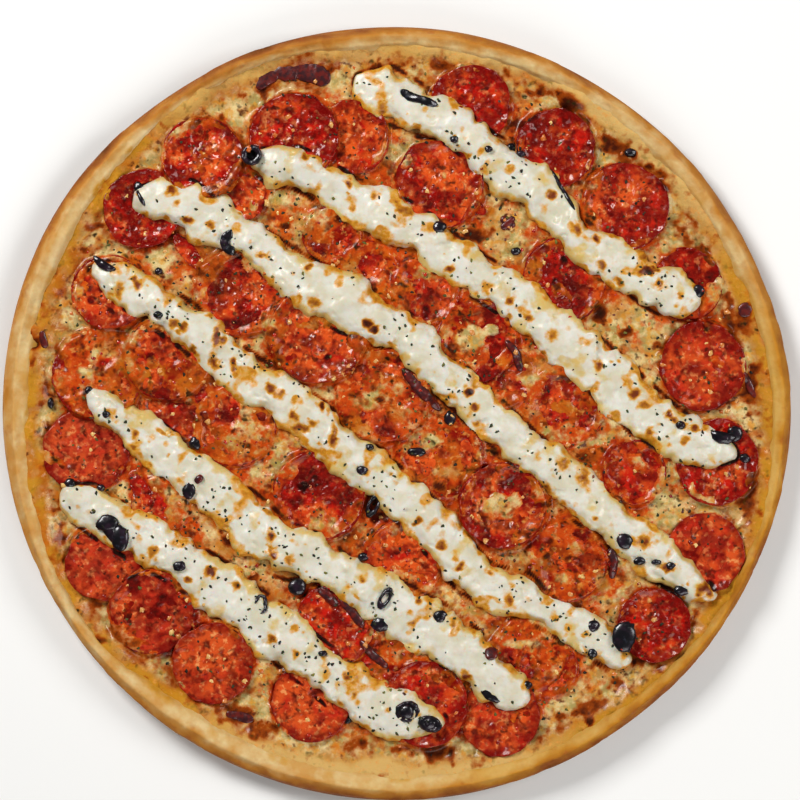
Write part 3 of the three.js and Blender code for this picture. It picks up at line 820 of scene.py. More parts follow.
# lump, bead and fold are kinds of relief, each with its width and height
sliceForm = {"around": 112, "rings": 28, "reads": (14, 6), "thick": 1.7, "thin": 1.2,
             "lump": (6.5, 0.55), "bead": (2.3, 0.34), "fold": (1.6, 0.6), "outline": 0.978,
             "inside": 0.985, "lowest": 7.6, "lowTop": 8.75, "highest": 18.4,
             "wet": {"glossy": 1.35, "matt": 0.8}, "hiddenWet": 1.1,
             "waves": ((1, 0.026), (3, 0.022), (7, 0.01)),
             "hidden": {"tone": 0.45, "veil": 0.6, "rise": (9.5, 0.7)},
             "scrap": {"tone": 0.15, "veil": 0.0, "rise": (10.1, 0.5)}}


def fitTerms(u, v):
    # a low order surface over the slice, u and v run from -1 to 1
    far = u * u + v * v
    return np.stack([np.ones_like(u), u, v, far, u * v, u * u - v * v, far ** 3, far ** 3 * u,
                     far ** 3 * v], -1)


def readSlice(name):
    low, high = (np.array(corner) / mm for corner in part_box(name))
    centre, half = (low + high)[:2] / 2, (high - low)[:2] / 2
    angles = np.linspace(0, fullTurn, sliceForm["reads"][0], endpoint=False)
    rho = np.linspace(0.1, 0.93, sliceForm["reads"][1])[:, None]
    u, v = (rho * np.cos(angles)).ravel(), (rho * np.sin(angles)).ravel()
    heights = dropOn(treeOf(name), centre[0] + u * half[0], centre[1] + v * half[1])
    good = ~np.isnan(heights)
    fit = np.linalg.lstsq(fitTerms(u[good], v[good]), heights[good], rcond=None)[0]
    return {"centre": centre, "half": half, "turn": 0.0, "fit": fit}


def sliceLocal(form, x, y):
    dx, dy = x - form["centre"][0], y - form["centre"][1]
    c, s = math.cos(form["turn"]), math.sin(form["turn"])
    return (dx * c + dy * s) / form["half"][0], (-dx * s + dy * c) / form["half"][1]


def sliceEdge(form, angle):
    # uneven outline as a share of the half width
    seed, c, s = form["seed"], np.cos(angle), np.sin(angle)
    wave = sum(grain(c * k + 5, s * k - 3, 1.1, seed + k, 1) * w for k, w in sliceForm["waves"])
    return sliceForm["outline"] + wave - np.abs(grain(c * 2.2, s * 2.2, 0.8, seed + 40, 1)) * 0.02


def sliceTop(form, x, y):
    u, v = sliceLocal(form, x, y)
    rho, seed = np.sqrt(u * u + v * v), form["seed"]
    z = fitTerms(u, v) @ form["fit"]
    z = z + relief(x, y, sliceForm["lump"], seed + 3)
    z = z + relief(x, y, sliceForm["bead"], seed + 5) * form["wet"]
    folds = relief(np.arctan2(v, u) * 6, rho * 2, sliceForm["fold"], seed + 8)
    return np.clip(z + ease(rho, 0.7, 1.0) * folds, sliceForm["lowTop"], sliceForm["highest"])


def prepareSlices():
    forms = []
    for k, (finish, tone, brick, veil, bake) in enumerate(sliceLooks):
        name = f"pepperoni_{k + 1:02d}"
        form = readSlice(name)
        form.update(node=name, seed=100 + 7 * k, tone=tone, brick=brick, veil=veil, bake=bake,
                    finish=finish, wet=sliceForm["wet"][finish], ring=(k + 1) in ringLike,
                    thick=sliceForm["thick"])
        forms.append(form)
    hidden = [(across, down, half, half, 0) for across, down, half in hiddenSlices]
    for k, (across, down, long, wide, turn) in enumerate(hidden + scraps):
        kind = sliceForm["hidden" if k < len(hidden) else "scrap"]
        fit = np.zeros(9)
        fit[0], fit[6] = kind["rise"]  # in the middle and towards the border
        fit[1], fit[2] = 0.25 * math.sin(k * 2.1), 0.25 * math.cos(k * 3.7)  # a small tilt
        forms.append({"node": None, "centre": np.array(place(across, down)), "fit": fit,
                      "half": np.array([long, wide]) * picture["each"], "turn": math.radians(turn),
                      "seed": 900 + 9 * k, "tone": kind["tone"], "veil": kind["veil"], "brick": 0.1,
                      "bake": 0.15, "wet": sliceForm["hiddenWet"], "ring": False,
                      "thick": sliceForm["thin"]})
    return forms


def creamEdgeBurnAndShade(x, y):
    # dark line in places along the cream: partly burnt cheese, partly painted contact shadow beside
    # the stripes
    close = readField(creamNear, x, y)
    line = ease(close, 0.1, 0.34) * (1 - ease(close, 0.6, 0.9))
    return line * ease(grain(x, y, 6, 81), -0.35, 0.45)


def makeSlice(form):
    n = sliceForm["around"]
    angle = turns(n)
    edge = sliceEdge(form, angle)
    c, s = math.cos(form["turn"]), math.sin(form["turn"])
    rows, marks = [], {"edge": [], "tone": [], "bake": [], "brick": [], "wine": []}

    def ring(rho, drop, lowest):
        lx = rho * edge * np.cos(angle) * form["half"][0]
        ly = rho * edge * np.sin(angle) * form["half"][1]
        x, y = form["centre"][0] + lx * c - ly * s, form["centre"][1] + lx * s + ly * c
        rows.append(np.stack([x, y, np.maximum(sliceTop(form, x, y) - drop, lowest)], 1))
        bake = ease(grain(x, y, 7, form["seed"] + 50), 0.0, 0.8) * 1.1 + 0.5 * ease(rho, 0.85, 1)
        bake = np.maximum(form["bake"] * bake, 0.8 * readField(spots["burnt"], x, y))
        # the bake here takes in the dark line along the cream, partly burnt and partly painted
        # contact shadow
        looks = {"edge": rho, "tone": form["tone"], "brick": form["brick"],
                 "bake": bake + 0.8 * creamEdgeBurnAndShade(x, y), "wine": readField(spots["wine"], x, y)}
        for label, value in looks.items():
            marks[label].append(value * np.ones(n))

    shares = 1 - (1 - np.linspace(0.03, 1, sliceForm["rings"])) ** 1.15
    for rho in shares[:-1]:
        ring(rho * sliceForm["inside"], 0.12 * ease(rho, 0.9, 1), 0)
    thick = form["thick"]
    border = [(0.992, 0.22), (1.0, 0.5), (1.0, thick - 0.5)]
    for rho, drop in border + [(share, thick) for share in (0.985, 0.9, 0.7, 0.4, 0.1)]:
        ring(rho, drop, sliceForm["lowest"])
    points = np.concatenate([[rows[0].mean(0)]] + rows + [[rows[-1].mean(0)]])
    made = {}
    for label, parts in marks.items():
        flat = np.concatenate(parts)
        made[label] = np.concatenate([[flat[0]], flat, [flat[-1]]])
    return points, turnedOut(loopFaces(len(rows), n)), made


def joinForms(name, parts, material):
    points, faces, marks, start = [], [], {}, 0
    for somePoints, someFaces, someMarks in parts:
        points.append(somePoints)
        faces += [tuple(i + start for i in face) for face in someFaces]
        for label, values in someMarks.items():
            marks.setdefault(label, []).append(values)
        start += len(somePoints)
    marks = {label: np.concatenate(values) for label, values in marks.items()}
    return makeMesh(name, np.concatenate(points), faces, marks, material)


sliceForms = prepareSlices()
sliceDress = {"glossy": (glossy, "pepperoni_gloss"), "matt": (matt, "pepperoni_matt")}
for form in sliceForms:
    if form["node"]:
        material, slot = sliceDress[form["finish"]]
        piece = makeMesh("pepperoniSlice" + form["node"][-2:], *makeSlice(form), material)
        dressed(piece, slot, form["node"])
buried = [makeSlice(form) for form in sliceForms if not form["node"]]
dressed(joinForms("buriedSlices", buried, glossy), "pepperoni_gloss")
print("slices made")

# what lies where among the slices
sliceHeight = np.full(plateX.shape, -1.0)  # top of the highest slice, -1 where there is none
sliceVeil, sliceInside = np.zeros(plateX.shape), np.zeros(plateX.shape)
for form in sliceForms:
    u, v = sliceLocal(form, plateX, plateY)
    rho = np.sqrt(u * u + v * v)
    z = np.where(rho < sliceForm["inside"], sliceTop(form, plateX, plateY), -1)
    above = z > sliceHeight
    thinner = 0.55 * (0.52 - rho) if form["ring"] else 0.9 * form["veil"] * ease(rho, 0.7, 1.0)
    sliceHeight = np.where(above, z, sliceHeight)
    sliceVeil = np.where(above, form["veil"] + thinner, sliceVeil)
    sliceInside = np.where(above, 1 - rho, sliceInside)
onSlice = sliceHeight > 0

# melted cheese
cheese = {"side": 300, "base": 8.35, "swellHigh": 10.6, "swellSoft": 1.2, "swellRead": 3.0,
          "lump": 0.75, "bead": 0.32, "thin": 0.6, "bottom": 5.4, "seed": 60, "intoWall": 1.6,
          "edgeRise": 4.3, "bank": 0.95, "lap": 0.8, "edgeLevel": 9.0, "crestLevel": 99.0,
          "crestGap": 0.6}
# brown and golden places of the cheese: place, half width, how dark
cheeseBakes = [
    (431, 750, 13, 0.7), (300, 76, 30, 0.35), (239, 717, 15, 0.5), (110, 335, 22, 0.3),
    (60, 560, 14, 0.25), (585, 122, 8, 0.6), (745, 322, 14, 0.5), (650, 175, 12, 0.3),
    (205, 262, 20, 0.35), (438, 215, 10, 0.5), (520, 365, 14, 0.35), (600, 400, 16, 0.3),
    (330, 470, 14, 0.35), (590, 455, 12, 0.4), (505, 670, 18, 0.4), (560, 690, 14, 0.35),
    (380, 740, 12, 0.3), (95, 455, 10, 0.3), (400, 640, 12, 0.3), (345, 545, 12, 0.3),
    (225, 520, 12, 0.3), (640, 480, 10, 0.4), (545, 565, 12, 0.3)]


def discPoints(side):
    # a square grid bent to a disc, so that its cells stay alike
    a = np.linspace(-1, 1, side)
    u, v = np.meshgrid(a, a)
    big = np.abs(u) > np.abs(v)
    r = np.where(big, u, v)
    with np.errstate(divide="ignore", invalid="ignore"):
        turn = np.where(big, math.pi / 4 * v / u, math.pi / 2 - math.pi / 4 * u / v)
    turn = np.nan_to_num(turn)
    return r * np.cos(turn), r * np.sin(turn)


def cheeseBase(x, y):
    # the low swells of the solid
    read = dropOn(treeOf("melted_cheese"), *gridOver(cheese["swellRead"]))
    read = np.clip(np.nan_to_num(read, nan=cheese["base"]), cheese["base"], cheese["swellHigh"])
    return readField(softField(read, cheese["swellSoft"]), x, y, cheese["swellRead"])


def cheeseFields():
    def wave(size, shift, octaves=2):
        # unevenness over the plate, with lumps of one width
        return grain(plateX, plateY, size, cheese["seed"] + shift, octaves)

    far, angle = np.hypot(plateX, plateY), np.arctan2(plateY, plateX)
    fromWall = wallRadius(angle, 10.0) - far
    beads = wave(2.6, 4)
    ground = cheeseBase(plateX, plateY) + np.maximum(wave(7.5, 0, 3), -0.4) * cheese["lump"]
    ground += beads * cheese["bead"]
    ground += cheese["edgeRise"] * (1 - ease(fromWall + 2.5 * wave(13, 9), -3.5, 8.0))
    # the cheese banks up against the slices and laps over their borders, most of all in the middle
    middle = 1 - ease(far, 105, 150)
    banked = softField(np.where(onSlice, sliceHeight, ground), 3.2) - 0.3 + 0.35 * beads
    bankShare = cheese["bank"] * (0.4 + 0.6 * middle) * ease(wave(12, 15), -0.8, 0.2)
    ground = np.where(onSlice, ground, ground + np.maximum(banked - ground, 0) * bankShare)
    patch = 0.5 + 0.5 * wave(11, 12, 3)
    border = 1 - ease(sliceInside + 0.2 * wave(9, 16), 0.0, 0.42)
    lap = cheese["lap"] * (0.2 + 0.8 * middle) * border * ease(wave(13, 17), -0.6, 0.3)
    pale, moss, amber, wine, burnt = spots.values()
    laid = np.maximum(np.maximum(pale, moss), 0.8 * amber)
    over = np.maximum((sliceVeil + lap - patch) * 3.0, 2.4 * laid - 1.3) - 0.9 * wine
    over = np.clip(over, -1.2, cheese["thin"]) + 0.3 * beads
    draped = np.where(onSlice & (over > -1.0), sliceHeight + over, ground)
    draped = np.maximum(draped, np.minimum(ground, sliceHeight - 0.5) - 0.6)
    height = np.where(onSlice, draped, ground) + 0.5 * laid * (1 - onSlice) - 0.3 * wine
    # how much the red of the slices shows through or has run into the cheese
    near = softField(onSlice.astype(float), 5.0)
    plain = np.clip(sliceVeil, 0, 1) * ease(sliceInside, 0.3, 0.8)
    thickness = ease(over, 0.0, 0.5) * (0.36 + 0.36 * plain)
    red = np.where(onSlice, 1.0 - thickness, 0.6 * near + 0.12 + 0.24 * middle)
    red = red + 0.4 * wave(9, 20, 3) - 0.12 * ease(plateX, 80, 140)
    red = np.clip(red, 0, 1) * (1 - 0.9 * pale) * (1 - 0.75 * moss) * (1 - 0.45 * amber)
    red = softField(np.maximum(red, wine), 0.8) * (0.3 + 0.7 * ease(fromWall, 4, 18))
    # the border by the rim, the oil, the baked places and painted shadow along the cream
    ragged = fromWall + 3.4 * wave(13, 31) + 1.2 * wave(4, 32)
    shore = 0.85 * (1 - ease(ragged, 0.0, 4.2)) * ease(wave(8, 33), -0.7, 0.1)
    doughy = 0.95 * (1 - ease(ragged, 0.2, 4.6)) * paleFoot(np.degrees(angle))
    oil = (1 - ease(ragged, 0.5, 8)) * 0.8 + 0.8 * amber + 0.35 * ease(wave(9, 35), 0.1, 0.7)
    oil += 0.6 * ease(softField(creamCover, 3.0), 0.12, 0.45) * ease(wave(5, 37), -0.4, 0.4)
    rimBake = (1 - ease(np.abs(ragged - 7.5), 1, 7)) * ease(wave(10, 44, 3), -0.35, 0.5)
    bake = 0.3 * ease(wave(5, 41), 0.4, 0.9) + (0.42 + 0.16 * ease(plateX, -40, 100)) * rimBake
    # along the cream the dark line is partly burnt cheese, partly painted contact shadow
    bake = np.maximum(bake + 0.95 * creamEdgeBurnAndShade(plateX, plateY), 0.85 * burnt) * (1 - 0.7 * pale)
    uneven = 0.35 * wave(5, 51)
    for across, down, wide, dark in cheeseBakes:
        gap = gapTo(plateX, plateY, across, down, wide, wide) + uneven
        bake = np.maximum(bake, dark * (1 - ease(gap, 0.4, 1.2)))
    fields = {"red": red, "oil": oil * (1 - 0.85 * pale), "bake": bake, "moss": moss,
              "shore": shore, "doughy": doughy}
    fields = {label: np.clip(field, 0, 1) for label, field in fields.items()}
    return softField(height, 0.9), fields


cheeseHeight, cheeseMarks = cheeseFields()


def makeCheese():
    side = cheese["side"]
    u, v = discPoints(side)
    angle, share = np.arctan2(v, u), np.hypot(u, v)
    edge = wallRadius(angle, cheese["edgeLevel"] + cheese["edgeRise"]) + cheese["intoWall"]
    # never past the crest of the rim
    edge = np.minimum(edge, wallRadius(angle, cheese["crestLevel"]) - cheese["crestGap"])
    x, y = share * edge * np.cos(angle), share * edge * np.sin(angle)
    points = np.stack([x, y, readField(cheeseHeight, x, y)], -1).reshape(-1, 3)
    index = np.arange(side * side).reshape(side, side)
    faces = sheetFaces(index).tolist()
    # a skirt down from the border, closed by a fan to the middle of the underside
    border = np.concatenate([index[0, :-1], index[:-1, -1], index[-1, :0:-1], index[:0:-1, 0]])
    count, n = len(points), len(border)
    low = points[border].copy()
    low[:, 2] = cheese["bottom"]
    points = np.concatenate([points, low, [[0, 0, cheese["bottom"]]]])
    for k in range(n):
        j = (k + 1) % n
        faces.append([int(border[k]), count + k, count + j, int(border[j])])
        faces.append([count + k, count + n, count + j])
    marks = {label: readField(field, points[:, 0], points[:, 1])
             for label, field in cheeseMarks.items()}
    dressed(makeMesh("meltedCheese", points, faces, marks, cheeseLook), "cheese", "melted_cheese")


makeCheese()
print("cheese made")

# cream stripes
# marks are small browned places: width, seed, how dark, how many more near the border, and the
# unevenness where they start and where they are full
cream = {"step": 0.65, "acrossSteps": 48, "base": 8.1, "round": 2.6, "cap": 3.4, "scallop": 0.26,
         "lump": (7.5, 1.0), "bead": (3.2, 0.3), "fine": (1.5, 0.04), "pit": (4.0, 0.72),
         "highest": 18.9, "knee": 0.8, "seed": 300, "readReach": 26, "readStep": 0.5,
         "noCrest": 12.0, "softSide": 1.8, "softCrest": 3.5, "wider": 0.5, "taper": 0.6,
         "marks": ((6.5, 11, 0.36, 0.5, 0.42, 0.85), (4.5, 12, 0.42, 0.35, 0.8, 1.2))}
# baked places of the cream: place, half width, half length, how dark
creamBakes = [
    (383, 108, 8, 9, 0.45), (501, 141, 4, 4, 0.6), (552, 195, 5, 6, 0.6), (545, 210, 5, 5, 0.4),
    (578, 230, 6, 8, 0.55), (595, 239, 5, 5, 0.7), (602, 265, 5, 7, 0.5), (619, 282, 5, 5, 0.5),
    (641, 257, 5, 5, 0.5), (648, 270, 10, 6, 0.75), (659, 284, 5, 5, 0.6), (680, 297, 5, 5, 0.6),
    (304, 158, 5, 5, 0.45), (347, 183, 5, 5, 0.6), (375, 196, 5, 5, 0.5), (318, 188, 4, 4, 0.4),
    (402, 208, 8, 12, 0.5), (449, 268, 5, 5, 0.6), (486, 287, 6, 8, 0.4), (510, 301, 5, 7, 0.55),
    (528, 320, 5, 5, 0.6), (552, 336, 6, 6, 0.45), (598, 365, 5, 5, 0.6), (635, 394, 6, 6, 0.6),
    (645, 404, 5, 5, 0.5), (671, 416, 6, 6, 0.65), (694, 427, 5, 5, 0.6), (649, 431, 5, 5, 0.5),
    (685, 441, 5, 5, 0.5), (171, 191, 6, 6, 0.6), (144, 215, 5, 5, 0.5), (178, 205, 5, 4, 0.5),
    (189, 222, 6, 5, 0.6), (210, 225, 5, 5, 0.5), (262, 255, 7, 4, 0.75), (308, 267, 4, 4, 0.6),
    (314, 303, 7, 7, 0.5), (368, 324, 6, 4, 0.8), (375, 329, 5, 4, 0.75), (467, 392, 5, 4, 0.85),
    (475, 408, 4, 4, 0.6), (501, 402, 4, 4, 0.5), (478, 424, 5, 5, 0.5), (596, 518, 4, 4, 0.7),
    (137, 262, 5, 9, 0.55), (137, 284, 5, 9, 0.6), (172, 284, 5, 5, 0.6), (174, 324, 5, 5, 0.6),
    (185, 328, 5, 5, 0.6), (192, 353, 5, 6, 0.7), (215, 364, 6, 5, 0.6), (223, 340, 4, 4, 0.6),
    (234, 364, 4, 5, 0.6), (270, 387, 6, 6, 0.6), (280, 394, 5, 5, 0.55), (322, 405, 4, 7, 0.85),
    (294, 416, 6, 6, 0.55), (333, 440, 6, 6, 0.55), (399, 523, 5, 5, 0.6), (418, 522, 5, 5, 0.6),
    (441, 545, 5, 5, 0.6), (460, 566, 6, 5, 0.6), (489, 573, 5, 5, 0.5), (135, 434, 4, 7, 0.6),
    (135, 447, 5, 6, 0.5), (150, 437, 4, 4, 0.45), (271, 535, 6, 8, 0.8), (271, 551, 6, 8, 0.75),
    (289, 560, 6, 6, 0.5), (349, 587, 6, 4, 0.65), (364, 580, 5, 5, 0.6), (413, 624, 5, 5, 0.6),
    (419, 601, 5, 5, 0.5), (455, 624, 5, 5, 0.6), (464, 676, 6, 6, 0.6), (154, 551, 5, 9, 0.5),
    (211, 572, 6, 6, 0.75), (234, 585, 6, 5, 0.6), (188, 580, 4, 4, 0.6), (271, 639, 6, 5, 0.6),
    (295, 653, 5, 5, 0.55), (347, 676, 5, 5, 0.6), (354, 697, 5, 5, 0.5), (340, 702, 5, 5, 0.5),
    (695, 545, 12, 7, 0.5), (705, 590, 8, 9, 0.55), (640, 541, 14, 7, 0.5), (668, 568, 10, 5, 0.6),
    (217, 338, 4, 13, 0.62), (214, 360, 5, 12, 0.6), (234, 366, 4, 10, 0.55),
    (246, 350, 4, 8, 0.45), (300, 428, 11, 6, 0.5), (333, 437, 5, 13, 0.62), (312, 424, 6, 5, 0.45),
    (585, 475, 8, 13, 0.5), (548, 490, 7, 7, 0.5), (560, 508, 12, 10, 0.5), (563, 463, 7, 8, 0.45),
    (508, 600, 6, 10, 0.5), (120, 290, 5, 9, 0.45)]


def stripePlaces(middle, axis, side, run, off):
    return (middle[k] + run * axis[k] + off * side[k] for k in (0, 1))


def readCream(name):
    # centre line, sides and height of one stripe, read along it
    flat = np.array([v.co for v in frame["nodes"][name].data.vertices])[:, :2] / mm
    middle = flat.mean(0)
    axis = np.linalg.svd(flat - middle, full_matrices=False)[2][0]
    axis = axis * np.sign(axis[0])
    side = np.array([-axis[1], axis[0]])
    run = (flat - middle) @ axis
    stations = np.arange(run.min() + 0.3, run.max() - 0.3, 1.0)
    offsets = np.arange(-cream["readReach"], cream["readReach"] + 0.1, cream["readStep"])
    heights = dropOn(treeOf(name), *stripePlaces(middle, axis, side, stations[:, None], offsets))
    left, right, crest = [], [], []
    for row in heights:
        hit = np.where(~np.isnan(row))[0]
        if len(hit) == 0:
            hit = np.array([len(offsets) // 2])
        left.append(offsets[hit[0]])
        right.append(offsets[hit[-1]])
        crest.append(np.nanmax(row) if not np.all(np.isnan(row)) else cream["noCrest"])
    left = softLine(np.array(left), cream["softSide"]) - cream["wider"]
    right = softLine(np.array(right), cream["softSide"]) + cream["wider"]
    return middle, axis, side, stations, left, right, softLine(np.array(crest), cream["softCrest"])


def creamBake(x, y):
    bake = np.zeros_like(x)
    uneven = 0.5 * grain(x, y, 3.4, 77) + 0.25 * grain(x, y, 1.6, 78)
    for *patch, dark in creamBakes:
        gap = gapTo(x, y, *patch) + uneven
        bake = np.maximum(bake, 1.15 * dark * (1 - ease(gap, 0.1, 1.55)))
    return bake


def makeCream(which, name):
    middle, axis, side, stations, *sides = readCream(name)
    seed = cream["seed"] + 13 * which
    length = stations[-1] - stations[0]
    count, m = int(length / cream["step"]), cream["acrossSteps"]
    run = stations[0] + np.linspace(0, 1, count) * length
    toEnd = np.minimum(run - stations[0], stations[-1] - run)
    closing = np.sqrt(np.clip(1 - (1 - np.clip(toEnd / cream["cap"], 0, 1)) ** 2, 0.0, 1))
    left, right, high = (np.interp(run, stations, row) for row in sides)
    # each side is scalloped in its own way
    turn = np.linspace(-math.pi / 2, math.pi / 2, m)
    sideways = np.sign(np.sin(turn)) * np.abs(np.sin(turn)) ** (2 / cream["round"])
    upward = np.abs(np.cos(turn)) ** (2 / cream["round"])
    waves = [grain(run, run * 0, 11, seed + k) + 0.5 * grain(run, run * 0, 4.6, seed + k + 1)
             for k in (0, 2)]
    spread = cream["scallop"] * np.where(sideways < 0, waves[0][:, None], waves[1][:, None])
    spread = 1 + spread * ease(np.abs(sideways), 0.2, 0.8)
    half = (right - left) / 2 * closing
    off = ((left + right) / 2)[:, None] + half[:, None] * sideways * spread
    x, y = stripePlaces(middle, axis, side, run[:, None], off)
    tall = (high - cream["base"]) * closing ** cream["taper"]
    z = cream["base"] + tall[:, None] * upward
    # lumps, pits and baked places
    lumps = relief(x, y, cream["lump"], seed + 5) + relief(x, y, cream["bead"], seed + 6)
    lumps += relief(x, y, cream["fine"], seed + 7, 1)
    pitWide, pitDeep = cream["pit"]
    hollow = ease(grain(x, y, pitWide, seed + 8), 0.5, 0.95) * pitDeep
    fringe = (1 - ease(upward, 0.55, 0.985)) * np.ones_like(x)
    bake = creamBake(x, y)
    # scattered marks, more of them near the border
    for size, shift, dark, outwards, low, full in cream["marks"]:
        marked = ease(grain(x, y, size, seed + shift) + outwards * fringe, low, full)
        bake = np.maximum(bake, dark * marked)
    weight = ease(upward, 0.15, 0.8) * ease(closing, 0.2, 1)[:, None]
    z = z + (lumps - hollow - 0.35 * ease(bake, 0.2, 0.7)) * weight
    knee = cream["knee"]
    limit = cream["highest"] - knee
    z = np.where(z > limit, limit + knee * np.tanh((z - limit) / knee), z)
    rim = fringe * (0.85 + 0.8 * grain(x, y, 7, seed + 10))
    rim = rim + 0.6 * ease(grain(x, y, 8, seed + 9), 0.3, 0.85)
    index = np.arange(count * m).reshape(count, m)
    faces = sheetFaces(index).tolist()
    faces += sheetFaces(index[:, [m - 1, 0]]).tolist()  # the underside
    faces += [index[0, ::-1].tolist(), index[-1].tolist()]
    piece = makeMesh(f"creamStripe{which}", np.stack([x, y, z], -1).reshape(-1, 3), faces,
                     {"bake": bake.ravel(), "rim": np.clip(rim, 0, 1).ravel()}, creamLook)
    fixNormals(piece.data)
    dressed(piece, "cream", name)


for k, name in enumerate(stripeNames):
    makeCream(k + 1, name)
print("cream made")

# olives
olive = {"count": 16, "voxel": 0.36, "smooth": 14, "factor": 0.5, "lump": 0.3, "lower": 0.15,
         "seed": 500}


def makeOlive(name):
    source = frame["nodes"][name].data.copy()
    fixNormals(source)
    source.materials.clear()
    work = linked("work", source)
    remesh = work.modifiers.new("even", "REMESH")
    remesh.mode, remesh.voxel_size = "VOXEL", olive["voxel"] * mm
    smooth = work.modifiers.new("soft", "SMOOTH")
    smooth.iterations, smooth.factor = olive["smooth"], olive["factor"]
    shape = plainCopy(work)
    bpy.data.objects.remove(work)
    points = np.array([v.co for v in shape.vertices]) / mm
    x, y, z = points.T
    seed = olive["seed"] + int(name[-2:])
    z += grain(x, y, 2.8, seed) * olive["lump"] - olive["lower"]
    x += grain(y, z, 3.0, seed + 3) * olive["lump"]
    shape.vertices.foreach_set("co", (points * mm).ravel())
    shape.materials.clear()
    shape.materials.append(oliveLook)
    shape.shade_smooth()
    shape.name = name.replace("olive_", "blackOlive")
    dressed(linked(shape.name, shape), "olive", name)


for k in range(olive["count"]):
    makeOlive(f"olive_{k + 1:02d}")
print("olives made")

# small bits laid one by one
bit = {"steps": 0.7, "fewest": 8, "around": 14, "sink": 0.3, "noGround": 9, "blob": (9, 16),
       "blobTall": 2.6, "lump": 0.16, "blobSeed": 700, "stripSeed": 760, "darkSeed": 800}


def madePieces():
    return [o for o in bpy.data.objects if o.type == "MESH" and o.get("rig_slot")]


def sweepBit(tree, path, wide, tall, seed):
    # a flattened strip along a line of places, lying on what is under it
    spine = np.array([place(*p) for p in path])
    leg = np.append(0, np.cumsum(np.hypot(*np.diff(spine, axis=0).T)))
    n, m = max(int(leg[-1] / bit["steps"]), bit["fewest"]), bit["around"]
    at = np.linspace(0, leg[-1], n)
    x, y = (softLine(np.interp(at, leg, row), 1.2) for row in spine.T)
    dx, dy = np.gradient(x), np.gradient(y)
    size = np.hypot(dx, dy)
    end = np.sqrt(np.clip(1 - np.abs(2 * at / leg[-1] - 1) ** 3, 0.02, 1))
    half = wide * picture["each"] / 2 * end * (1 + bit["lump"] * grain(at, at * 0, 2.5, seed))
    ground = softLine(np.nan_to_num(dropOn(tree, x, y), nan=bit["noGround"]), 1.5)
    rows = []
    for turn in np.linspace(0, fullTurn, m, endpoint=False):
        off = half * math.cos(turn)
        up = ground + tall * (0.5 - bit["sink"]) + tall / 2 * end * math.sin(turn)
        px, py = x - dy / size * off, y + dx / size * off
        rows.append(np.stack([px, py, up + grain(px, py, 1.8, seed + 3) * 0.18 * tall], 1))
    rings = np.stack(rows, 1)
    points = np.concatenate([[rings[0].mean(0)], rings.reshape(-1, 3), [rings[-1].mean(0)]])
    return points, loopFaces(n, m), {}


def blobBit(tree, across, down, wide, long, seed):
    x, y = place(across, down)
    n, m = bit["blob"]
    tall = bit["blobTall"]
    a, b = wide * picture["each"] / 2, long * picture["each"] / 2
    ground = dropOn(tree, [x, x + a / 2, x - a / 2, x, x], [y, y, y, y + b / 2, y - b / 2])
    ground = bit["noGround"] if np.all(np.isnan(ground)) else np.nanmean(ground)
    points = [(x, y, ground + tall * 0.62)]
    for k in range(1, n + 1):
        fall = math.pi * k / (n + 1)
        for spin in turns(m):
            c, s, body = math.cos(spin), math.sin(spin), math.sin(fall) ** 0.8
            lump = 1 + bit["lump"] * float(grain(c * 2 + 4, s * 2 + k * 0.4, 1.2, seed))
            points.append((x + a * body * c * lump, y + b * body * s * lump,
                           ground + tall * (0.12 + 0.5 * math.cos(fall) * lump)))
    points.append((x, y, ground - tall * 0.38))
    return np.array(points), turnedOut(loopFaces(n, m)), {}


# place, width and height in the picture
oliveBits = [
    (139, 187, 10, 10), (189, 490, 13, 18), (195, 443, 13, 13), (440, 616, 14, 12),
    (625, 541, 17, 15), (512, 147, 9, 9), (521, 154, 9, 7), (488, 150, 8, 7), (454, 140, 9, 7),
    (698, 291, 12, 12), (516, 251, 10, 8), (680, 425, 10, 8), (745, 458, 10, 10), (639, 561, 12, 9),
    (656, 562, 10, 6), (670, 565, 10, 7), (682, 590, 18, 10), (592, 653, 10, 9), (362, 470, 12, 9),
    (370, 447, 9, 7), (180, 566, 13, 10), (364, 557, 12, 8), (158, 271, 8, 8), (159, 315, 10, 8),
    (50, 403, 6, 12), (107, 414, 8, 7), (89, 390, 8, 8), (70, 483, 11, 9), (101, 488, 9, 7),
    (631, 152, 14, 8), (347, 721, 10, 7), (439, 227, 14, 12), (323, 653, 9, 6), (527, 685, 10, 9),
    (735, 433, 15, 16), (450, 418, 11, 14), (417, 452, 18, 9), (407, 711, 16, 14),
    (430, 723, 13, 11), (108, 523, 24, 16), (121, 538, 17, 28), (250, 156, 13, 14),
    (623, 636, 24, 31)]
# strips: places along the middle, width in the picture, height in millimetres
oliveStrips = [
    ([(137, 190), (141, 198), (146, 207)], 4, 1.2),
    ([(552, 170), (560, 186), (567, 197), (575, 211)], 4, 1.4),
    ([(400, 90), (410, 97), (424, 101), (438, 106)], 9, 2.2),
    ([(255, 604), (259, 595), (265, 597), (266, 610), (260, 614)], 4, 1.8)]
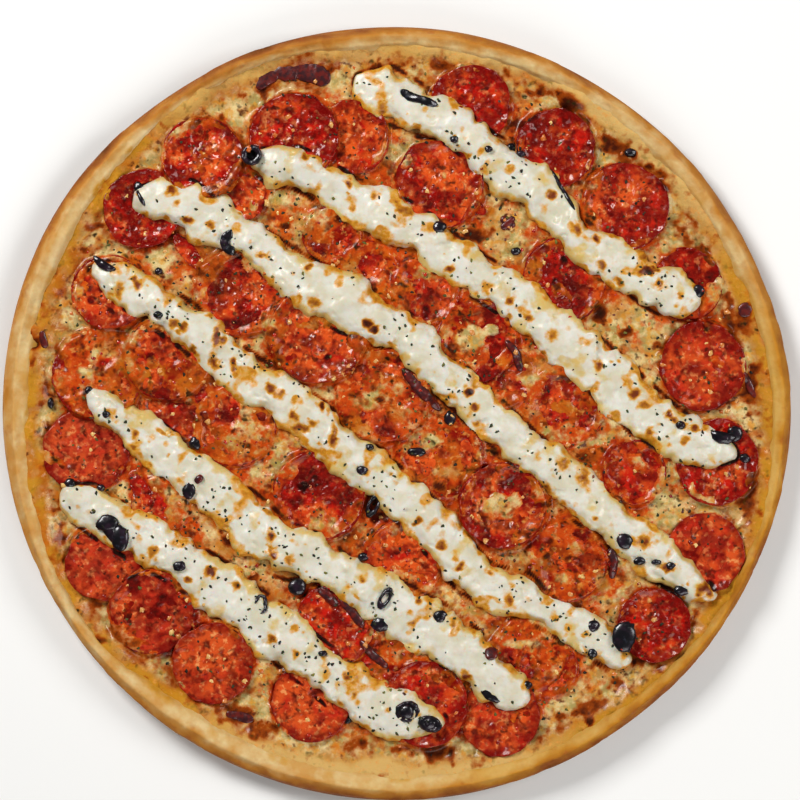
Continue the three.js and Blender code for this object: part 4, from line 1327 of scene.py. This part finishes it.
# dark red and purple brown strips
darkStrips = [
    ([(256, 88), (264, 78), (278, 72)], 16, 0.9),
    ([(272, 74), (296, 68), (316, 73), (330, 82)], 21, 1.1),
    ([(225, 714), (240, 717), (254, 721)], 9, 1.1), ([(318, 588), (328, 596), (338, 606)], 9, 1.8),
    ([(340, 600), (352, 612), (364, 628)], 9, 1.8), ([(42, 330), (43, 340), (46, 349)], 7, 1.0),
    ([(402, 368), (416, 385), (428, 398), (441, 411)], 11, 2.2),
    ([(505, 340), (516, 352), (521, 372)], 9, 1.8), ([(610, 548), (615, 562), (612, 580)], 9, 1.8),
    ([(490, 646), (492, 660)], 13, 2.0), ([(743, 302), (746, 310), (747, 318)], 15, 1.2),
    ([(744, 372), (750, 385), (756, 398)], 7, 1.2), ([(501, 216), (508, 222), (514, 229)], 10, 1.6),
    ([(515, 216), (508, 223), (501, 229)], 8, 1.9), ([(196, 476), (202, 482)], 9, 2.0),
    ([(360, 640), (372, 655), (388, 668)], 9, 1.8)]

tree = treeOfMeshes([piece.data for piece in madePieces()])
bits = [blobBit(tree, *row, bit["blobSeed"] + k) for k, row in enumerate(oliveBits)]
bits += [sweepBit(tree, *row, bit["stripSeed"] + k) for k, row in enumerate(oliveStrips)]
dressed(joinForms("oliveBits", bits, oliveLook), "olive")
bits = [sweepBit(tree, *row, bit["darkSeed"] + k) for k, row in enumerate(darkStrips)]
dressed(joinForms("darkScraps", bits, scrapLook), "pepperoni_gloss")
print("small bits made")


# herbs and crumbs, scattered
def buildSprinkle():
    # points on a sheet over the plate drop onto what lies under them and become small shapes there
    group = bpy.data.node_groups.new("sprinkle", "GeometryNodeTree")
    inputs = {"Geometry": "Geometry", "Each Square Metre": "Float", "Seed": "Int",
              "Smallest": "Float", "Largest": "Float", "Sink": "Float", "Lean": "Float",
              "Surfaces": "Collection", "Shapes": "Collection", "Finish": "Material"}
    for label, kind in inputs.items():
        group.interface.new_socket(label, in_out="INPUT", socket_type="NodeSocket" + kind)
    group.interface.new_socket("Geometry", in_out="OUTPUT", socket_type="NodeSocketGeometry")
    given = group.nodes.new("NodeGroupInput").outputs
    out = group.nodes.new("NodeGroupOutput").inputs

    def add(kind, sockets, **settings):
        return addNode(group, kind, sockets, **settings).outputs

    def named(name, kind="FLOAT"):
        return add("GeometryNodeInputNamedAttribute", {"Name": name}, data_type=kind)[0]

    def chance(kind, low, high, shift):
        seed = plus(group, given["Seed"], float(shift))
        places = {"FLOAT": (2, 3, 1), "FLOAT_VECTOR": (0, 1, 0), "INT": (4, 5, 2)}
        first, second, made = places[kind]
        sockets = {first: low, second: high, "Seed": seed}
        return add("FunctionNodeRandomValue", sockets, data_type=kind)[made]

    def stored(geometry, name, kind, domain, value):
        sockets = {"Geometry": geometry, "Name": name}
        node = addNode(group, "GeometryNodeStoreNamedAttribute", sockets, data_type=kind,
                       domain=domain)
        group.links.new(value, node.inputs["Value"])
        return node.outputs[0]

    def scaled(value, size):
        return add("ShaderNodeVectorMath", {0: value, "Scale": size}, operation="SCALE")[0]

    density = times(group, given["Each Square Metre"], named("share"))
    points = add("GeometryNodeDistributePointsOnFaces",
                 {"Mesh": given["Geometry"], "Density": density, "Seed": given["Seed"]})["Points"]
    surfaces = add("GeometryNodeCollectionInfo", {"Collection": given["Surfaces"]})[0]
    solid = add("GeometryNodeRealizeInstances", {0: surfaces})[0]
    ray = add("GeometryNodeRaycast", {"Target Geometry": solid, "Ray Direction": (0, 0, -1),
                                      "Ray Length": 0.2})
    for name, kind, socket in (("land", "FLOAT_VECTOR", "Hit Position"),
                               ("facing", "FLOAT_VECTOR", "Hit Normal"),
                               ("met", "BOOLEAN", "Is Hit")):
        points = stored(points, name, kind, "POINT", ray[socket])
    facing = named("facing", "FLOAT_VECTOR")
    sunk = {0: named("land", "FLOAT_VECTOR"), 1: scaled(facing, given["Sink"])}
    landed = add("ShaderNodeVectorMath", sunk, operation="SUBTRACT")[0]
    placed = add("GeometryNodeSetPosition", {"Geometry": points, "Position": landed})[0]
    aligned = add("FunctionNodeAlignRotationToVector", {"Vector": facing}, axis="Z")[0]
    lean = scaled(chance("FLOAT_VECTOR", (-1, -1, -8), (1, 1, 8), 1), given["Lean"])
    spin = add("FunctionNodeEulerToRotation", {0: lean})[0]
    turned = add("FunctionNodeRotateRotation", {"Rotation": aligned, "Rotate By": spin},
                 rotation_space="LOCAL")[0]
    shapes = add("GeometryNodeCollectionInfo", {
        "Collection": given["Shapes"], "Reset Children": True, "Separate Children": True})[0]
    laid = add("GeometryNodeInstanceOnPoints", {
        "Points": placed, "Selection": named("met", "BOOLEAN"), "Instance": shapes,
        "Pick Instance": True, "Instance Index": chance("INT", 0, 9, 3), "Rotation": turned,
        "Scale": chance("FLOAT", given["Smallest"], given["Largest"], 2)})[0]
    laid = stored(laid, "chance", "FLOAT", "INSTANCE", chance("FLOAT", 0.0, 1.0, 4))
    real = add("GeometryNodeRealizeInstances", {0: laid})[0]
    done = add("GeometryNodeSetMaterial", {"Geometry": real, "Material": given["Finish"]})[0]
    group.links.new(done, out[0])
    return group


def grainShapes(name, rows, around, wide, tall, rough):
    # a few closed shapes of one kind, one unit long
    shapes = bpy.data.collections.new(name)
    for k in range(5):
        points = [(-0.5, 0, 0)]
        for i in range(1, rows + 1):
            t = i / (rows + 1)
            body = math.sin(math.pi * t) ** 0.7
            bend = 0.12 * math.sin(2.2 * t + k)
            for j, a in enumerate(turns(around)):
                lump = 1 + rough * math.sin(3.1 * j + 2.3 * i + 1.7 * k)
                points.append((t - 0.5, bend + wide / 2 * body * math.cos(a) * lump,
                               tall / 2 * body * math.sin(a) * lump))
        points.append((0.5, 0, 0))
        shape = makeMesh(f"{name}{k}", np.array(points) / mm, loopFaces(rows, around))
        fixNormals(shape.data)
        bpy.context.scene.collection.objects.unlink(shape)
        shapes.objects.link(shape)
    return shapes


def sprinkle(name, share, slot, finish, shapes, **values):
    index = np.arange(coverX.size).reshape(coverX.shape)
    faces = sheetFaces(index)
    keep = share.ravel()[faces].max(1) > 0.01
    points = np.stack([coverX.ravel(), coverY.ravel(), np.full(coverX.size, sky)], 1)
    base = makeMesh(name, points, faces[keep].tolist(), {"share": np.clip(share, 0, 2).ravel()})
    modifier = base.modifiers.new("sprinkle", "NODES")
    modifier.node_group = sprinkleTree
    values.update({"Surfaces": landing, "Shapes": shapes, "Finish": finish})
    for item in sprinkleTree.interface.items_tree:
        if item.item_type == "SOCKET" and item.in_out == "INPUT" and item.name in values:
            modifier[item.identifier] = values[item.name]
    made = plainCopy(base)
    base.modifiers.clear()
    base.data = made
    made.name = name
    for label in ("land", "facing", "met", "share"):
        if label in made.attributes:
            made.attributes.remove(made.attributes[label])
    print(name, len(made.polygons), "faces")
    dressed(base, slot)


cover = {"cell": 2.0, "wall": 9.5, "drift": 26, "driftSeed": 950}
coverX, coverY = gridOver(cover["cell"])
onCream = (readField(creamCover, coverX, coverY) > 0.5).astype(float)
fromRim = wallRadius(np.arctan2(coverY, coverX), cover["wall"]) - np.hypot(coverX, coverY)
sliceShare = readField(onSlice.astype(float), coverX, coverY)
bare = {"cream": onCream, "slice": sliceShare * (1 - onCream),
        "cheese": (1 - sliceShare) * (1 - onCream)}
inner = ease(fromRim, 3, 22)
drift = 0.6 + 0.5 * grain(coverX, coverY, cover["drift"], cover["driftSeed"])
sprinkleTree = buildSprinkle()
landing = bpy.data.collections.new("landing")
for piece in madePieces():
    landing.objects.link(piece)
grainKinds = {"leaf": grainShapes("leaf", 2, 5, 0.62, 0.26, 0.25),
              "crumb": grainShapes("crumb", 3, 6, 0.75, 0.4, 0.22)}
# what is scattered: name, slot, shape, how much lies on each ground, whether in drifts; how many on
# a square metre, seed, smallest, largest and sink in mm, lean; name of the finish, its two colours,
# roughness, coat
sprinkles = [
    ("herbFlecks", "olive", "leaf", {"cream": 0.8, "slice": 0.35, "cheese": 0.7}, True,
     36000, 4, 0.9, 2.6, 0.0, 0.4, ("herbDark", (20, 20, 12), (52, 56, 22), 0.6)),
    ("greenHerbs", "olive", "leaf", {"cream": 0.3, "slice": 0.4, "cheese": 0.8}, True,
     16000, 9, 1.2, 2.6, 0.0, 0.4, ("herbGreen", (62, 66, 26), (118, 112, 44), 0.6)),
    ("cheeseCrumbs", "cheese", "crumb", {"slice": 0.6, "cheese": 1.0}, False,
     15000, 14, 1.6, 4.2, 0.45, 0.3, ("cheeseCrumb", (220, 182, 112), (196, 98, 28), 0.35, 0.4)),
    ("redBeads", "pepperoni_gloss", "crumb", {"slice": 1.0, "cheese": 0.35}, False,
     13000, 19, 1.0, 3.0, 0.3, 0.4, ("redBead", (116, 7, 3), (186, 46, 14), 0.26, 0.6)),
    ("toastedCrumbs", "cheese", "crumb", {"slice": 0.4, "cheese": 0.8}, True,
     18000, 24, 0.8, 2.6, 0.3, 0.4, ("toastedCrumb", (52, 20, 8), (120, 50, 14), 0.35, 0.4))]
for name, slot, kind, grounds, drifts, many, seed, small, large, sink, lean, finish in sprinkles:
    share = inner * sum(bare[ground] * amount for ground, amount in grounds.items())
    share = share * drift if drifts else share
    sprinkle(name, share, slot, flakeMaterial(*finish), grainKinds[kind], **{
        "Each Square Metre": many, "Seed": seed, "Smallest": small * mm, "Largest": large * mm,
        "Sink": sink * mm, "Lean": lean})
for shapes in grainKinds.values():
    for shape in list(shapes.objects):
        bpy.data.objects.remove(shape)
    bpy.data.collections.remove(shapes)
bpy.data.collections.remove(landing)
print("herbs and crumbs scattered")

# floor, light and camera; the floor's half width and level are in mm, the rest in metres
room = {"floor": tint(236, 235, 232), "floorHalf": 3000, "floorLevel": -0.4, "world": 0.1,
        "worldTint": (0.95, 0.97, 1.0, 1), "away": 1.5, "seen": 0.362, "toppings": 0.012,
        "sensor": 36}
# name, place, size, power
lamps = [("key", (-0.75, 0.85, 1.05), 0.5, 17.4), ("side", (1.05, 0.2, 0.95), 0.6, 7.4),
         ("low", (0.35, -1.15, 0.85), 0.9, 7.5)]


def makeRoom():
    scene = bpy.context.scene
    scene.view_settings.view_transform = "Standard"
    scene.view_settings.look = "Medium High Contrast"
    material = newMaterial("paleFloor", Roughness=0.8, Base_Color=room["floor"])[0]
    half, level = room["floorHalf"], room["floorLevel"]
    corners = [(-half, -half, level), (half, -half, level), (half, half, level),
               (-half, half, level)]
    makeMesh("floor", corners, [(0, 1, 2, 3)], None, material)
    world = bpy.data.worlds.new("room")
    world.use_nodes = True
    background = world.node_tree.nodes["Background"].inputs
    background["Color"].default_value = room["worldTint"]
    background["Strength"].default_value = room["world"]
    scene.world = world
    for name, where, size, power in lamps:
        data = bpy.data.lights.new(name, "AREA")
        data.size, data.energy = size, power
        lamp = linked(name, data)
        lamp.location = where
        lamp.rotation_euler = (-Vector(where)).to_track_quat("-Z", "Y").to_euler()
    data = bpy.data.cameras.new("camera")
    data.sensor_width = room["sensor"]
    data.lens = room["sensor"] * room["away"] / room["seen"]
    camera = linked("camera", data)
    across, along = place(400, 400)
    camera.location = (across * mm, along * mm, room["toppings"] + room["away"])
    scene.camera = camera


makeRoom()
print("room made")

bpy.context.view_layer.update()
